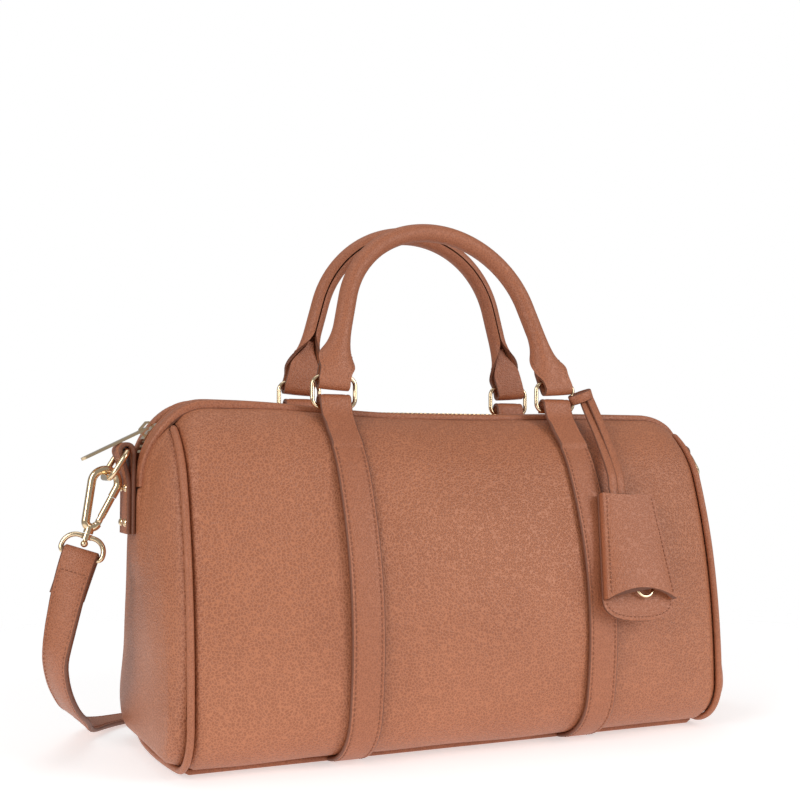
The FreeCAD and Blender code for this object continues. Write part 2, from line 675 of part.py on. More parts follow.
def make_body_straps():
    inner = S.body_strap_lift
    outer = inner + S.body_strap_thickness
    for hand_name, hand in SIDES:
        middle = hand * S.ring_x
        edges = [middle - S.body_strap_width / 2, middle + S.body_strap_width / 2]
        end = flank_share_at(S.ring_y, 0, S.ring_x, inner)
        band = Part.makeLoft([flank_section(x, outer, inner, 1, 0, end) for x in edges], True, True)
        fold, slot = strap_fold(middle)
        strap = band.fuse(fold).cut(slot).removeSplitter()
        feature(f"back_{hand_name}_body_strap", strap)
        feature(f"front_{hand_name}_body_strap", strap.mirror(Vector(), Vector(0, 1, 0)))


def ring_solid(wire_radius):
    """Oval ring lying flat about the origin."""
    half, rise, turn = S.ring_width / 2, S.ring_depth / 2, S.ring_corner
    edges = [
        flat_line((turn - half, -rise), (half - turn, -rise)),
        flat_arc((half - turn, turn - rise), turn, -90, 0),
        flat_line((half, turn - rise), (half, rise - turn)),
        flat_arc((half - turn, rise - turn), turn, 0, 90),
        flat_line((half - turn, rise), (turn - half, rise)),
        flat_arc((turn - half, rise - turn), turn, 90, 180),
        flat_line((-half, rise - turn), (-half, turn - rise)),
        flat_arc((turn - half, turn - rise), turn, 180, 270),
    ]
    return tube(wire_of(edges), wire_radius)


def make_handle_rings():
    for face_name, side in FACES:
        for hand_name, hand in SIDES:
            place = on_front(side * S.ring_y)
            place.Base = Vector(hand * S.ring_x, side * S.ring_y, RING_HEIGHT)
            feature(f"{face_name}_{hand_name}_handle_ring", ring_solid(S.ring_wire_radius), place)


# Rolled handles

SPLAY = S.handle_splay_angle
ARCH_CENTRE = (0, S.handle_arch_height)
HANDLE_ARC_END = polar(ARCH_CENTRE, S.handle_arch_radius, SPLAY)
FLARE_X = HANDLE_ARC_END[0] + (HANDLE_ARC_END[1] - S.flare_top) * math.tan(math.radians(SPLAY))


def handle_path():
    edges = [
        flat_line((FLARE_X, S.flare_top), HANDLE_ARC_END),
        flat_arc(ARCH_CENTRE, S.handle_arch_radius, SPLAY, 180 - SPLAY),
        flat_line((-HANDLE_ARC_END[0], HANDLE_ARC_END[1]), (-FLARE_X, S.flare_top)),
    ]
    return wire_of(edges, on_front(0))


def oval(half_x, half_y, x, height, turn):
    grow = FreeCAD.Matrix()
    grow.scale(Vector(half_x, half_y, 1))
    ring = Part.Wire([Part.Circle(Vector(), Vector(0, 0, 1), 1).toShape()]).transformGeometry(grow)
    ring.Placement = Placement(Vector(x, 0, height), Rotation(Vector(0, 1, 0), turn))
    return ring


def handle_flare(hand):
    """Roll opened out and flattened down to the width of the tab."""
    foot = S.tab_top + S.seam_gap
    half_width = S.body_strap_width / 2
    middle_x = (FLARE_X + S.ring_x) / 2
    middle_width = (S.handle_radius + half_width) / 2
    middle_depth = (S.handle_radius + S.fold_half) / 2
    middle_height = (S.flare_top + foot) / 2
    sections = [
        oval(S.handle_radius, S.handle_radius, hand * FLARE_X, S.flare_top, -hand * SPLAY),
        oval(middle_width, middle_depth, hand * middle_x, middle_height, -hand * SPLAY),
        oval(half_width, S.fold_half, hand * S.ring_x, foot, 0),
    ]
    return Part.makeLoft(sections, True, False)


def handle_tab(hand):
    """Tab folded round the ring's upper bar."""
    pivot = S.ring_depth / 2
    low = S.fold_spacing + S.fold_half
    outline = [
        flat_line((S.fold_half, low), (S.fold_half, S.tab_top)),
        flat_line((S.fold_half, S.tab_top), (-S.fold_half, S.tab_top)),
        flat_line((-S.fold_half, S.tab_top), (-S.fold_half, low)),
        flat_arc((0, low), S.fold_half, 180, 360),
    ]
    slot = upright_stadium(0, low, pivot, S.fold_slot_half)
    x = hand * S.ring_x
    block = prism(outline, on_side(x), S.body_strap_width)
    return block.cut(prism(slot, on_side(x), S.body_strap_width + S.overrun))


def make_handles():
    leans = {"front": S.front_handle_lean, "back": S.back_handle_lean}
    core = tube(handle_path(), S.handle_core_radius)
    hollow = tube(handle_path(), S.handle_core_radius + S.seam_gap)
    roll = tube(handle_path(), S.handle_radius).cut(hollow)
    roll = roll.fuse([handle_flare(-1), handle_flare(1)]).removeSplitter()
    pivot = Vector(0, 0, S.ring_depth / 2)
    for face_name, side in FACES:
        turn = Rotation(Vector(1, 0, 0), side * leans[face_name])
        place = Placement(Vector(0, side * S.ring_y, RING_HEIGHT), turn, pivot)
        feature(f"{face_name}_handle", roll, place)
        feature(f"{face_name}_handle_core", core, place)
        for hand_name, hand in SIDES:
            feature(f"{face_name}_handle_{hand_name}_tab", handle_tab(hand), place)


# Side tabs, rings and studs

TAB_TOP = SEAM_HEIGHT - S.side_tab_drop
TAB_BOTTOM = TAB_TOP - S.side_tab_length
TAB_INNER = HALF + S.strip_reach + S.facing_thickness + S.seam_gap
TAB_OUTER = TAB_INNER + 2 * S.side_tab_layer
LOOP_RADIUS = S.side_slot_radius + S.side_tab_layer
LOOP_CENTRE = (TAB_INNER + LOOP_RADIUS, TAB_TOP - LOOP_RADIUS)
STUD_HEIGHTS = [TAB_BOTTOM + rise for rise in (S.stud_lower, S.stud_upper)]
STUD_DEPTHS = (-S.stud_spacing / 2, S.stud_spacing / 2)


def make_side_tabs():
    for name, side in SIDES:
        label = f"{name}_side_tab"
        body = new_body(label)
        inner, outer = side * TAB_INNER, side * TAB_OUTER
        top = LOOP_CENTRE[1]
        corners = [(inner, TAB_BOTTOM), (outer, TAB_BOTTOM), (outer, top), (inner, top)]
        pad(body, sketch(body, "XZ_Plane", flat_polygon(corners)), "sizes.side_tab_width")
        centre = Vector(side * LOOP_CENTRE[0], LOOP_CENTRE[1])
        upward = Vector(0, 0, 1)
        loop = Part.Circle(centre, upward, LOOP_RADIUS)
        pad(body, sketch(body, "XZ_Plane", [loop]), "sizes.side_tab_width")
        slot = Part.Circle(centre, upward, S.side_slot_radius)
        pocket(body, sketch(body, "XZ_Plane", [slot]), "sizes.side_tab_width + sizes.overrun")
        bore = S.stud_shank_radius + S.seam_gap
        places = [Vector(depth, height) for depth in STUD_DEPTHS for height in STUD_HEIGHTS]
        holes = sketch(body, "YZ_Plane", [Part.Circle(place, upward, bore) for place in places])
        pocket(body, holes, "2 * sizes.bag_length")
        keep(body, label)


def stud_solid():
    """Domed stud about Z, its head's underside at the origin."""
    length = 2 * S.side_tab_layer - S.seam_gap
    shank = Part.makeCylinder(S.stud_shank_radius, length, Vector(0, 0, -length))
    dome_radius = (S.stud_head_radius ** 2 + S.stud_head_height ** 2) / (2 * S.stud_head_height)
    sink = dome_radius - S.stud_head_height
    rim_angle = math.degrees(math.asin(sink / dome_radius))
    dome = Part.makeSphere(dome_radius, Vector(0, 0, -sink), Vector(0, 0, 1), rim_angle, 90)
    return dome.fuse(shank).removeSplitter()


def make_studs():
    for name, side in SIDES:
        studs = []
        for depth in STUD_DEPTHS:
            for height in STUD_HEIGHTS:
                stud = stud_solid()
                turn = Rotation(Vector(0, 1, 0), side * 90)
                place = Placement(Vector(side * TAB_OUTER, depth, height), turn)
                stud.Placement = place.multiply(stud.Placement)
                studs.append(stud)
        feature(f"{name}_tab_studs", Part.makeCompound(studs))


def side_ring_bar(side):
    """Middle of the side ring's outer bar."""
    reach = S.ring_depth
    x = LOOP_CENTRE[0] + reach * sine(S.side_ring_tilt)
    return Vector(side * x, 0, LOOP_CENTRE[1] - reach * cosine(S.side_ring_tilt))


def make_side_rings():
    for name, side in SIDES:
        loop = Vector(side * LOOP_CENTRE[0], 0, LOOP_CENTRE[1])
        up = Vector(-side * sine(S.side_ring_tilt), 0, cosine(S.side_ring_tilt))
        across = Vector(0, 1, 0)
        place = Placement((loop + side_ring_bar(side)) / 2, Rotation(across, up, across.cross(up), "ZXY"))
        feature(f"{name}_side_ring", ring_solid(S.side_ring_wire_radius), place)


# Swivel snap hooks

HOOK_HANG = S.hook_top_radius - S.hook_wire_radius - S.side_ring_wire_radius - S.running_gap
HOOK_TANGENT = math.degrees(math.asin((S.hook_bottom_radius - S.hook_top_radius) / S.hook_span))
HOOK_FOOT = (0, -S.hook_span)
BOW_TURN = polar((0, 0), S.hook_top_radius, HOOK_TANGENT)
NOSE = polar(BOW_TURN, S.hook_nose, HOOK_TANGENT - 90)
GATE_SEAT = polar(HOOK_FOOT, S.hook_bottom_radius, HOOK_TANGENT)
BOSS_TOP = -S.hook_span - S.hook_bottom_radius
BOSS_FOOT = BOSS_TOP - S.swivel_boss_length
HUB_TOP = BOSS_FOOT - S.running_gap
HUB_FOOT = HUB_TOP - S.swivel_hub_length
EYE_TOP = (HUB_TOP + HUB_FOOT) / 2
EYE_CENTRE = EYE_TOP - S.eye_shoulder
EYE_BAR = EYE_CENTRE - S.eye_side - S.eye_corner
FOLD_FOOT = EYE_BAR - S.strap_fold_length


def hook_tilt(name):
    return S.left_hook_tilt if name == "left" else S.right_hook_tilt


def hook_place(name, side):
    """Hook plane: first axis towards the bag, second up the hook, origin at the bow's centre."""
    tilt = hook_tilt(name)
    up = Vector(-side * sine(tilt), 0, cosine(tilt))
    inward = Vector(-side * cosine(tilt), 0, -sine(tilt))
    return Placement(side_ring_bar(side) - up * HOOK_HANG, Rotation(inward, up, inward.cross(up), "ZXY"))


def eye_place(name, side):
    """The same plane turned on the swivel."""
    return hook_place(name, side).multiply(Placement(Vector(), Rotation(Vector(0, 1, 0), side * S.eye_turn)))


def gate_frame():
    """Gate's own axes in the hook plane: Z along the gate from its pivot, X outwards."""
    along = Vector(NOSE[0] - GATE_SEAT[0], NOSE[1] - GATE_SEAT[1], 0)
    along.normalize()
    pivot = Vector(*GATE_SEAT) + along * (S.gate_radius + S.running_gap)
    normal = Vector(0, 0, 1)
    return Placement(pivot, Rotation(along.cross(normal) * -1, normal * -1, along, "ZXY"))


def cross_cylinder(radius, half_length):
    """Cylinder across the hook plane at a gate's pivot."""
    return Part.makeCylinder(radius, 2 * half_length, Vector(0, -half_length, 0), Vector(0, 1, 0))


def hook_solid():
    far = 180 - HOOK_TANGENT
    back_foot = polar(HOOK_FOOT, S.hook_bottom_radius, far)
    back_top = polar((0, 0), S.hook_top_radius, far)
    path = wire_of([
        flat_arc(HOOK_FOOT, S.hook_bottom_radius, HOOK_TANGENT, far - 360),
        flat_line(back_foot, back_top),
        flat_arc((0, 0), S.hook_top_radius, far, HOOK_TANGENT),
        flat_line(BOW_TURN, NOSE),
    ])
    bow = tube(path, S.hook_wire_radius)
    down = Vector(0, -1, 0)
    boss = Part.makeCylinder(S.swivel_boss_radius, S.swivel_boss_length, Vector(0, BOSS_TOP), down)
    frame = gate_frame()
    half = S.gate_radius / 2
    tongue = cross_cylinder(S.gate_radius - S.running_gap, half)
    drop = S.gate_radius + S.running_gap + half
    width = S.gate_radius - S.running_gap
    stem = Part.makeBox(2 * width, 2 * half, drop, Vector(-width, -half, -drop))
    tongue = tongue.fuse(stem).cut(cross_cylinder(S.gate_pin_radius + S.seam_gap, S.gate_radius))
    tongue.Placement = frame
    return bow.fuse([boss, tongue]).removeSplitter()


def gate_solid():
    """Gate forked over the hook's tongue, its rivet set in the fork."""
    frame = gate_frame()
    length = (Vector(*NOSE) - frame.Base).Length - S.running_gap
    radius = S.gate_radius
    half = radius / 2 + S.running_gap
    bar = Part.makeCylinder(radius, length).fuse(Part.makeSphere(radius))
    fork = Part.makeBox(2 * radius, 2 * half, 2 * radius, Vector(-radius, -half, -radius))
    rivet = cross_cylinder(S.gate_pin_radius, radius - S.running_gap)
    bar = bar.cut(fork).fuse(rivet).removeSplitter()
    bar.Placement = frame
    return bar


def swivel_pin_solid():
    down = Vector(0, -1, 0)
    neck = S.swivel_hub_length + 2 * S.running_gap + S.swivel_head_radius
    shank = Part.makeCylinder(S.swivel_pin_radius, neck, Vector(0, BOSS_FOOT), down)
    ball = Part.makeSphere(S.swivel_head_radius, Vector(0, HUB_FOOT - S.running_gap - S.swivel_head_radius))
    return shank.fuse(ball).removeSplitter()


def eye_solid():
    half, turn, crest = S.eye_half, S.eye_corner, S.eye_shoulder
    side_foot = EYE_CENTRE - S.eye_side
    path = wire_of([
        flat_line((turn - half, EYE_BAR), (half - turn, EYE_BAR)),
        flat_arc((half - turn, side_foot), turn, -90, 0),
        flat_line((half, side_foot), (half, EYE_CENTRE)),
        flat_arc((half - crest, EYE_CENTRE), crest, 0, 90),
        flat_line((half - crest, EYE_TOP), (crest - half, EYE_TOP)),
        flat_arc((crest - half, EYE_CENTRE), crest, 90, 180),
        flat_line((-half, EYE_CENTRE), (-half, side_foot)),
        flat_arc((turn - half, side_foot), turn, 180, 270),
    ])
    down = Vector(0, -1, 0)
    hub = Part.makeCylinder(S.swivel_boss_radius, S.swivel_hub_length, Vector(0, HUB_TOP), down)
    bore_radius = S.swivel_pin_radius + S.seam_gap
    bore = Part.makeCylinder(bore_radius, S.swivel_hub_length + S.overrun, Vector(0, BOSS_FOOT), down)
    return tube(path, S.eye_wire_radius).fuse(hub).cut(bore).removeSplitter()


def strap_fold_solid():
    """End of the shoulder strap folded round the eye's bar."""
    slot = S.eye_wire_radius + S.running_gap
    half = slot + S.skin
    outline = [
        flat_line((half, FOLD_FOOT), (half, EYE_BAR)),
        flat_arc((0, EYE_BAR), half, 0, 180),
        flat_line((-half, EYE_BAR), (-half, FOLD_FOOT)),
        flat_line((-half, FOLD_FOOT), (half, FOLD_FOOT)),
    ]
    hollow = upright_stadium(0, EYE_BAR - 2 * slot, EYE_BAR, slot)
    across = Placement(Vector(), Rotation(Vector(0, 0, 1), Vector(0, 1, 0), Vector(-1, 0, 0), "ZXY"))
    block = prism(outline, across, S.strap_width)
    return block.cut(prism(hollow, across, S.strap_width + S.overrun))


def make_hooks():
    for name, side in SIDES:
        hook = hook_place(name, side)
        eye = eye_place(name, side)
        pieces = (
            ("hook", hook_solid(), hook),
            ("hook_gate", gate_solid(), hook),
            ("swivel_pin", swivel_pin_solid(), hook),
            ("strap_eye", eye_solid(), eye),
            ("strap_fold", strap_fold_solid(), eye),
        )
        for label, shape, place in pieces:
            shape.Placement = place.multiply(shape.Placement)
            feature(f"{name}_{label}", shape)


# Straps that lie free

def ribbon(stations, width, thickness):
    """Flat strap through stations of (middle, across), square to its own route."""
    sections = []
    for index, (middle, across) in enumerate(stations):
        before = stations[max(index - 1, 0)][0]
        after = stations[min(index + 1, len(stations) - 1)][0]
        heading = (after - before).normalize()
        across = across - heading * across.dot(heading)
        across.normalize()
        normal = heading.cross(across)
        corners = []
        for wide, thick in ((-1, -1), (1, -1), (1, 1), (-1, 1)):
            corners.append(middle + across * (wide * width / 2) + normal * (thick * thickness / 2))
        sections.append(Part.makePolygon(corners + corners[:1]))
    return Part.makeLoft(sections, True, True)


def make_shoulder_strap():
    floor = S.strap_thickness / 2 + S.seam_gap
    foot = Vector(0, FOLD_FOOT)
    hang = HANG_SHARE * min(eye_place(name, side).multVec(foot).z for name, side in SIDES)
    stations = []
    for (length_share, back_share, hang_share), across in STRAP_ROUTE_SHARES:
        middle = Vector(length_share * HALF, back_share * S.strap_back, floor + hang_share * hang)
        stations.append((middle, Vector(*across)))
    ends = []
    for name, side in SIDES:
        place = eye_place(name, side)
        across = place.Rotation.multVec(Vector(1, 0, 0))
        for drop in (S.seam_gap, S.seam_gap + S.strap_lead):
            ends.append((place.multVec(Vector(0, FOLD_FOOT - drop)), across))
    run = ends[:2] + stations + [ends[3], ends[2]]
    feature("shoulder_strap", ribbon(run, S.strap_width, S.strap_thickness))


# Key bell on its thong

BELL_LAYER = S.bell_leather + S.seam_gap
BELL_TOP = SEAM_HEIGHT - S.bell_drop
BELL_FRONT_X = S.ring_x + S.body_strap_width / 2
HITCH = Vector(S.ring_x + S.ring_width / 2, -S.ring_y, RING_HEIGHT)


def bell_place(rise):
    """Bell's axes: first across, second up the bell, third out from the front; origin at its top."""
    offset = S.body_strap_lift + S.body_strap_thickness + S.bell_clear
    depths = []
    for down_share in BELL_REST_SHARES:
        down = down_share * S.bell_length
        share = flank_share_at(BELL_TOP - down * cosine(S.bell_lean), 1, BELL_FRONT_X, offset)
        depths.append(flank_point(share, BELL_FRONT_X, offset, 1)[0] - down * sine(S.bell_lean))
    out = Vector(0, -cosine(S.bell_lean), sine(S.bell_lean))
    uphill = Vector(0, sine(S.bell_lean), cosine(S.bell_lean))
    along = Vector(1, 0, 0)
    up = uphill * cosine(S.bell_roll) - along * sine(S.bell_roll)
    across = along * cosine(S.bell_roll) + uphill * sine(S.bell_roll)
    origin = Vector(S.bell_top_x, -max(depths), BELL_TOP) + out * rise
    return Placement(origin, Rotation(across, up, out, "ZXY"))


def make_bell():
    top, mouth, length = S.bell_top_half, S.bell_mouth_half, S.bell_length
    sides = [
        flat_line((-mouth, -length), (-top, 0)),
        flat_line((-top, 0), (top, 0)),
        flat_line((top, 0), (mouth, -length)),
    ]
    arch = Part.Arc(Vector(mouth, -length), Vector(0, S.bell_arch - length), Vector(-mouth, -length))
    lip = Part.Arc(Vector(mouth, -length), Vector(0, -length - S.bell_lip), Vector(-mouth, -length))
    back = new_body("key_bell_back")
    pad(back, sketch(back, "XY_Plane", sides + [lip]), "sizes.bell_leather", False)
    back.Placement = bell_place(0)
    keep(back, "key_bell_back")
    front = new_body("key_bell_front")
    pad(front, sketch(front, "XY_Plane", sides + [arch]), "sizes.bell_hollow + sizes.bell_leather", False)
    taper = (mouth - top) / length
    near = top - S.bell_wall - taper * S.overrun
    far = mouth - S.bell_wall + taper * S.overrun
    low = -length - S.overrun
    room = [(-far, low), (far, low), (near, S.overrun), (-near, S.overrun)]
    pocket(front, sketch(front, "XY_Plane", flat_polygon(room)), "sizes.bell_hollow", False, True)
    front.Placement = bell_place(BELL_LAYER)
    keep(front, "key_bell_front")


def make_thong():
    place = bell_place(BELL_LAYER + S.bell_hollow / 2)
    across = place.Rotation.multVec(Vector(1, 0, 0))
    top_wire = S.key_ring_radius - S.key_ring_depth
    slot = S.key_ring_wire_radius + S.thong_thickness / 2
    half = slot + S.thong_thickness / 2
    block_top = top_wire + 2 * half + S.thong_width
    inner = S.ring_wire_radius + S.running_gap
    outer = inner + S.thong_thickness
    layer = (S.thong_thickness + S.seam_gap) / 2
    entry = HITCH - Vector(0, outer + S.running_gap + S.thong_thickness / 2 + layer, 0)
    outwards = place.Rotation.multVec(Vector(0, 0, 1))
    bend = THONG_BEND_SHARE * S.thong_reach
    pieces = []
    for leg in (-1, 1):
        run = [
            (entry + outwards * (leg * layer), across),
            (place.multVec(Vector(leg * S.thong_spacing, bend, leg * layer)), across),
            (place.multVec(Vector(leg * S.thong_spacing, S.thong_reach, 0)), across),
            (place.multVec(Vector(leg * S.thong_spacing, 0, 0)), across),
            (place.multVec(Vector(leg * S.thong_spacing, block_top - S.thong_width, 0)), across),
        ]
        pieces.append(ribbon(run, S.thong_width, S.thong_thickness))
    hitch_low = HITCH - Vector(0, 0, S.thong_width / 2)
    hitch = Part.makeCylinder(outer, S.thong_width, hitch_low)
    feature("key_thong_hitch", hitch.cut(Part.makeCylinder(inner, S.thong_width, hitch_low)))
    flat = Placement(Vector(), Rotation(Vector(0, 0, 1), Vector(0, 1, 0), Vector(-1, 0, 0), "ZXY"))
    wide = 2 * S.thong_spacing + S.thong_width
    thin = S.thong_thickness / 2
    block_low = block_top - S.thong_width
    block = [(-thin, block_low), (thin, block_low), (thin, block_top), (-thin, block_top)]
    joint = prism(flat_polygon(block), flat, wide)
    fold = prism(upright_stadium(0, top_wire, block_low, half), flat, S.thong_width)
    hole = upright_stadium(0, top_wire - slot / 2, top_wire + slot / 2, slot)
    lower = joint.fuse(fold).cut(prism(hole, flat, S.thong_width + S.overrun))
    lower.Placement = place.multiply(lower.Placement)
    feature("key_thong", lower.fuse(pieces).removeSplitter())
    ring_path = Part.Wire([Part.Circle(Vector(), Vector(0, 0, 1), S.key_ring_radius).toShape()])
    ring = tube(ring_path, S.key_ring_wire_radius)
    ring.translate(Vector(0, -S.key_ring_depth, 0))
    ring.Placement = place.multiply(ring.Placement)
    feature("key_ring", ring)


def build():
    make_panels()
    make_base()
    make_ends()
    make_lining()
    make_strip_leather()
    make_zip_teeth()
    make_zip_slider()
    make_zip_pull()
    make_body_straps()
    make_handle_rings()
    make_handles()
    make_side_tabs()
    make_studs()
    make_side_rings()
    make_hooks()
    make_shoulder_strap()
    make_bell()
    make_thong()


build()
doc.recompute()
for obj in doc.Objects:
    if "Invalid" in obj.State or "Error" in obj.State:
        raise RuntimeError(f"{obj.Label} failed: {obj.State}")
os.makedirs("parts", exist_ok=True)
for obj in PARTS:
    shape = obj.Shape
    if shape.isNull() or not shape.isValid():
        raise RuntimeError(f"{obj.Label} has no valid shape")
for obj in PARTS:
    obj.Shape.exportStep(f"parts/{obj.Label}.step")
    box = obj.Shape.BoundBox
    span = f"z {box.ZMin:.2f} to {box.ZMax:.2f}"
    print(f"{obj.Label}: {len(obj.Shape.Solids)} solid(s), {obj.Shape.Volume:.1f} mm3, {span}")
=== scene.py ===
# %% [markdown]
# # A barrel bag, dressed for its portrait
# The bag comes from the CAD model as a fixed frame: every solid already stands where it belongs.
# Metal parts keep their CAD shape and get a better finish. Every soft part is made again here, because
# leather turns over at its edges, sinks at its seams and carries stitches, which a CAD solid does not.

# %% Load the frame
import math

import bmesh
import bpy
from mathutils import Matrix, Vector, noise


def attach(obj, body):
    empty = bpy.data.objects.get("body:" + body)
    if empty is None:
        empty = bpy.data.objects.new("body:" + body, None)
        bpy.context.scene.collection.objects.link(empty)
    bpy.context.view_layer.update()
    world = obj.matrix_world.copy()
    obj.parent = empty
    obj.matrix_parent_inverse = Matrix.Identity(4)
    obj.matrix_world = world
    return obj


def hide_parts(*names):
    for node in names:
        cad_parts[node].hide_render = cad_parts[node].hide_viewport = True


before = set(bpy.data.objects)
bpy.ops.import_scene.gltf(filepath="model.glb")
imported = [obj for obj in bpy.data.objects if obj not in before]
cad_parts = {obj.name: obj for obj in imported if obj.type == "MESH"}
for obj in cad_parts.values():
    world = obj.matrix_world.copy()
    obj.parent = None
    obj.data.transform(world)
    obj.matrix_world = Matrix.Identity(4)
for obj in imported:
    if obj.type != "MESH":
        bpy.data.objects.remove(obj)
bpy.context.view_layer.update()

# %% [markdown]
# ## Working in millimetres
# A leather worker thinks in millimetres and Blender in metres. Every size below is written in millimetres,
# and one helper turns a point into metres when it is put into a mesh.

# %% Millimetres and turns
MM = 0.001
LEFT_AND_RIGHT = (("left", -1), ("right", 1))
FRONT_AND_BACK = (("front", -1), ("back", 1))
INNER_AND_OUTER = (("inner", -1), ("outer", 1))


def sine(degrees):
    return math.sin(math.radians(degrees))


def cosine(degrees):
    return math.cos(math.radians(degrees))


def mix(a, b, share):
    return a + (b - a) * share


def ease(value, low, high):
    """0 below low, 1 above high and a soft step between them."""
    share = min(1, max(0, (value - low) / (high - low)))
    return share * share * (3 - 2 * share)


# %% [markdown]
# ## The camera first
# The photograph was taken a little left of the front, with the lens about as high as the zip. The lens and
# the place were worked out from the straight lengths of the bag, so the frame can be judged from the start.

# %% Camera
CAMERA_PLACE = Vector((-324.8, -684.5, 163.9)) * MM
CAMERA_YAW, CAMERA_PITCH = 24.12, 2.8
lens = bpy.data.cameras.new("portrait_lens")
lens.sensor_width = 36
lens.lens = 55.65
lens.clip_start, lens.clip_end = 0.01, 30
camera = bpy.data.objects.new("portrait_camera", lens)
bpy.context.scene.collection.objects.link(camera)
level = cosine(CAMERA_PITCH)
look = Vector((sine(CAMERA_YAW) * level, cosine(CAMERA_YAW) * level, sine(CAMERA_PITCH)))
camera.location = CAMERA_PLACE
camera.rotation_euler = look.to_track_quat("-Z", "Y").to_euler()
bpy.context.scene.camera = camera
bpy.context.scene.view_settings.view_transform = "Standard"
print("camera at", [round(value, 3) for value in camera.location])

# %% [markdown]
# ## Small tools for nodes
# Materials are built from nodes in code. A few helpers keep that readable: one feeds a node's inputs, one
# adds a node with its settings and inputs, and the others add the kinds of node that come back often.

# %% Node tools


def feed(tree, node, inputs):
    """Sets a node's inputs: an output of another node is joined, anything else is a value."""
    for label, source in inputs.items():
        if isinstance(source, bpy.types.NodeSocket):
            tree.links.new(source, node.inputs[label])
        else:
            node.inputs[label].default_value = source


def add_node(tree, kind, inputs=None, **settings):
    node = tree.nodes.new(kind)
    for name, value in settings.items():
        setattr(node, name, value)
    feed(tree, node, inputs or {})
    return node


def noise_node(tree, place, scale, detail):
    return add_node(tree, "ShaderNodeTexNoise", {"Vector": place, "Scale": scale, "Detail": detail})


def calculate(tree, operation, *values, **settings):
    node = add_node(tree, "ShaderNodeMath", dict(enumerate(values)), operation=operation, **settings)
    return node.outputs["Value"]


def blend(tree, share, a, b):
    """Colour a where the share is 0 and b where it is 1."""
    node = add_node(tree, "ShaderNodeMix", {"Factor": share, "A": a, "B": b}, data_type="RGBA")
    return node.outputs["Result"]


def remap(tree, value, source, target, interpolation="LINEAR"):
    """Value carried from one range to another and kept inside it."""
    node = add_node(tree, "ShaderNodeMapRange", {
        "Value": value, "From Min": source[0], "From Max": source[1],
        "To Min": target[0], "To Max": target[1],
    }, interpolation_type=interpolation)
    return node.outputs["Result"]


def new_group(name, inputs, outputs):
    """Empty shader group with named sockets: (name, kind, value)."""
    tree = bpy.data.node_groups.new(name, "ShaderNodeTree")
    for label, kind, value in inputs:
        socket = tree.interface.new_socket(label, in_out="INPUT", socket_type=kind)
        socket.default_value = value
    for label, kind in outputs:
        tree.interface.new_socket(label, in_out="OUTPUT", socket_type=kind)
    return tree, add_node(tree, "NodeGroupInput"), add_node(tree, "NodeGroupOutput")


def new_material(name):
    """Material with a Principled shader; returns the material, its tree and the shader."""
    material = bpy.data.materials.new(name)
    material.use_nodes = True
    tree = material.node_tree
    return material, tree, tree.nodes["Principled BSDF"]


# %% [markdown]
# ## Pebbled leather
# The hide is milled: its surface breaks up into small soft pebbles, about two millimetres across, with a
# network of soft lines between them that polishing has left paler. A Voronoi texture gives cells of that
# kind, and its distance to the nearest edge is the line. Noise bends the cells first, so they come out round
# and uneven. The same group feeds every leather on the bag, so the grain has one character everywhere.

# %% Grain group
grain_tree, grain_in, grain_out = new_group(
    "pebble_grain",
    [
        ("Hide", "NodeSocketColor", (0.42, 0.15, 0.075, 1)),
        ("Line", "NodeSocketColor", (0.53, 0.2, 0.11, 1)),
        ("Pebbles per metre", "NodeSocketFloat", 520.0),
        ("Depth", "NodeSocketFloat", 1.0),
        ("Roughness", "NodeSocketFloat", 0.5),
    ],
    [("Colour", "NodeSocketColor"), ("Roughness", "NodeSocketFloat"), ("Height", "NodeSocketFloat")],
)

# Distance from a cell's edge where the pale line and the dome end, in cells; bend of the cells, in metres
LINE_EDGE, DOME_EDGE, CELL_BEND = 0.19, 0.36, 0.0012
# Paleness of a line, extra paleness in slow clouds, and what fine noise adds to relief and roughness
LINE_SHARE, CLOUD_SHARE, FINE_RELIEF, FINE_DULL = 0.8, 0.25, 0.25, 0.18


def build_grain(tree, group_in, group_out):
    place = add_node(tree, "ShaderNodeTexCoord").outputs["Object"]
    drift = noise_node(tree, place, 620, 2).outputs["Color"]
    bend = (CELL_BEND, CELL_BEND, CELL_BEND)
    shift = add_node(tree, "ShaderNodeVectorMath", {0: drift, 1: bend, 2: place}, operation="MULTIPLY_ADD")
    cells = add_node(tree, "ShaderNodeTexVoronoi", {
        "Vector": shift.outputs["Vector"], "Scale": group_in.outputs["Pebbles per metre"],
    }, feature="DISTANCE_TO_EDGE")
    pebble, dome = [
        remap(tree, cells.outputs["Distance"], (0, edge), (0, 1), "SMOOTHSTEP")
        for edge in (LINE_EDGE, DOME_EDGE)
    ]
    fine = noise_node(tree, place, 2600, 3).outputs["Fac"]
    height = calculate(tree, "MULTIPLY_ADD", fine, FINE_RELIEF, dome)
    cloud = noise_node(tree, place, 22, 4).outputs["Fac"]
    tone = remap(tree, cloud, (0.3, 0.7), (LINE_SHARE + CLOUD_SHARE, LINE_SHARE))
    shade = calculate(tree, "MULTIPLY_ADD", pebble, -LINE_SHARE, tone, use_clamp=True)
    feed(tree, group_out, {
        "Colour": blend(tree, shade, group_in.outputs["Hide"], group_in.outputs["Line"]),
        "Roughness": calculate(tree, "MULTIPLY_ADD", fine, FINE_DULL, group_in.outputs["Roughness"]),
        "Height": calculate(tree, "MULTIPLY", height, group_in.outputs["Depth"]),
    })


build_grain(grain_tree, grain_in, grain_out)
print("grain group with", len(grain_tree.nodes), "nodes")

# %% [markdown]
# ## Finishes that use the grain
# One hide is used for everything, but thin straps are shaved and look a little smoother. Cut edges are
# sealed with a darker paint, which hides the fibres and makes the thin lines that outline every strap.

# %% Leather finishes


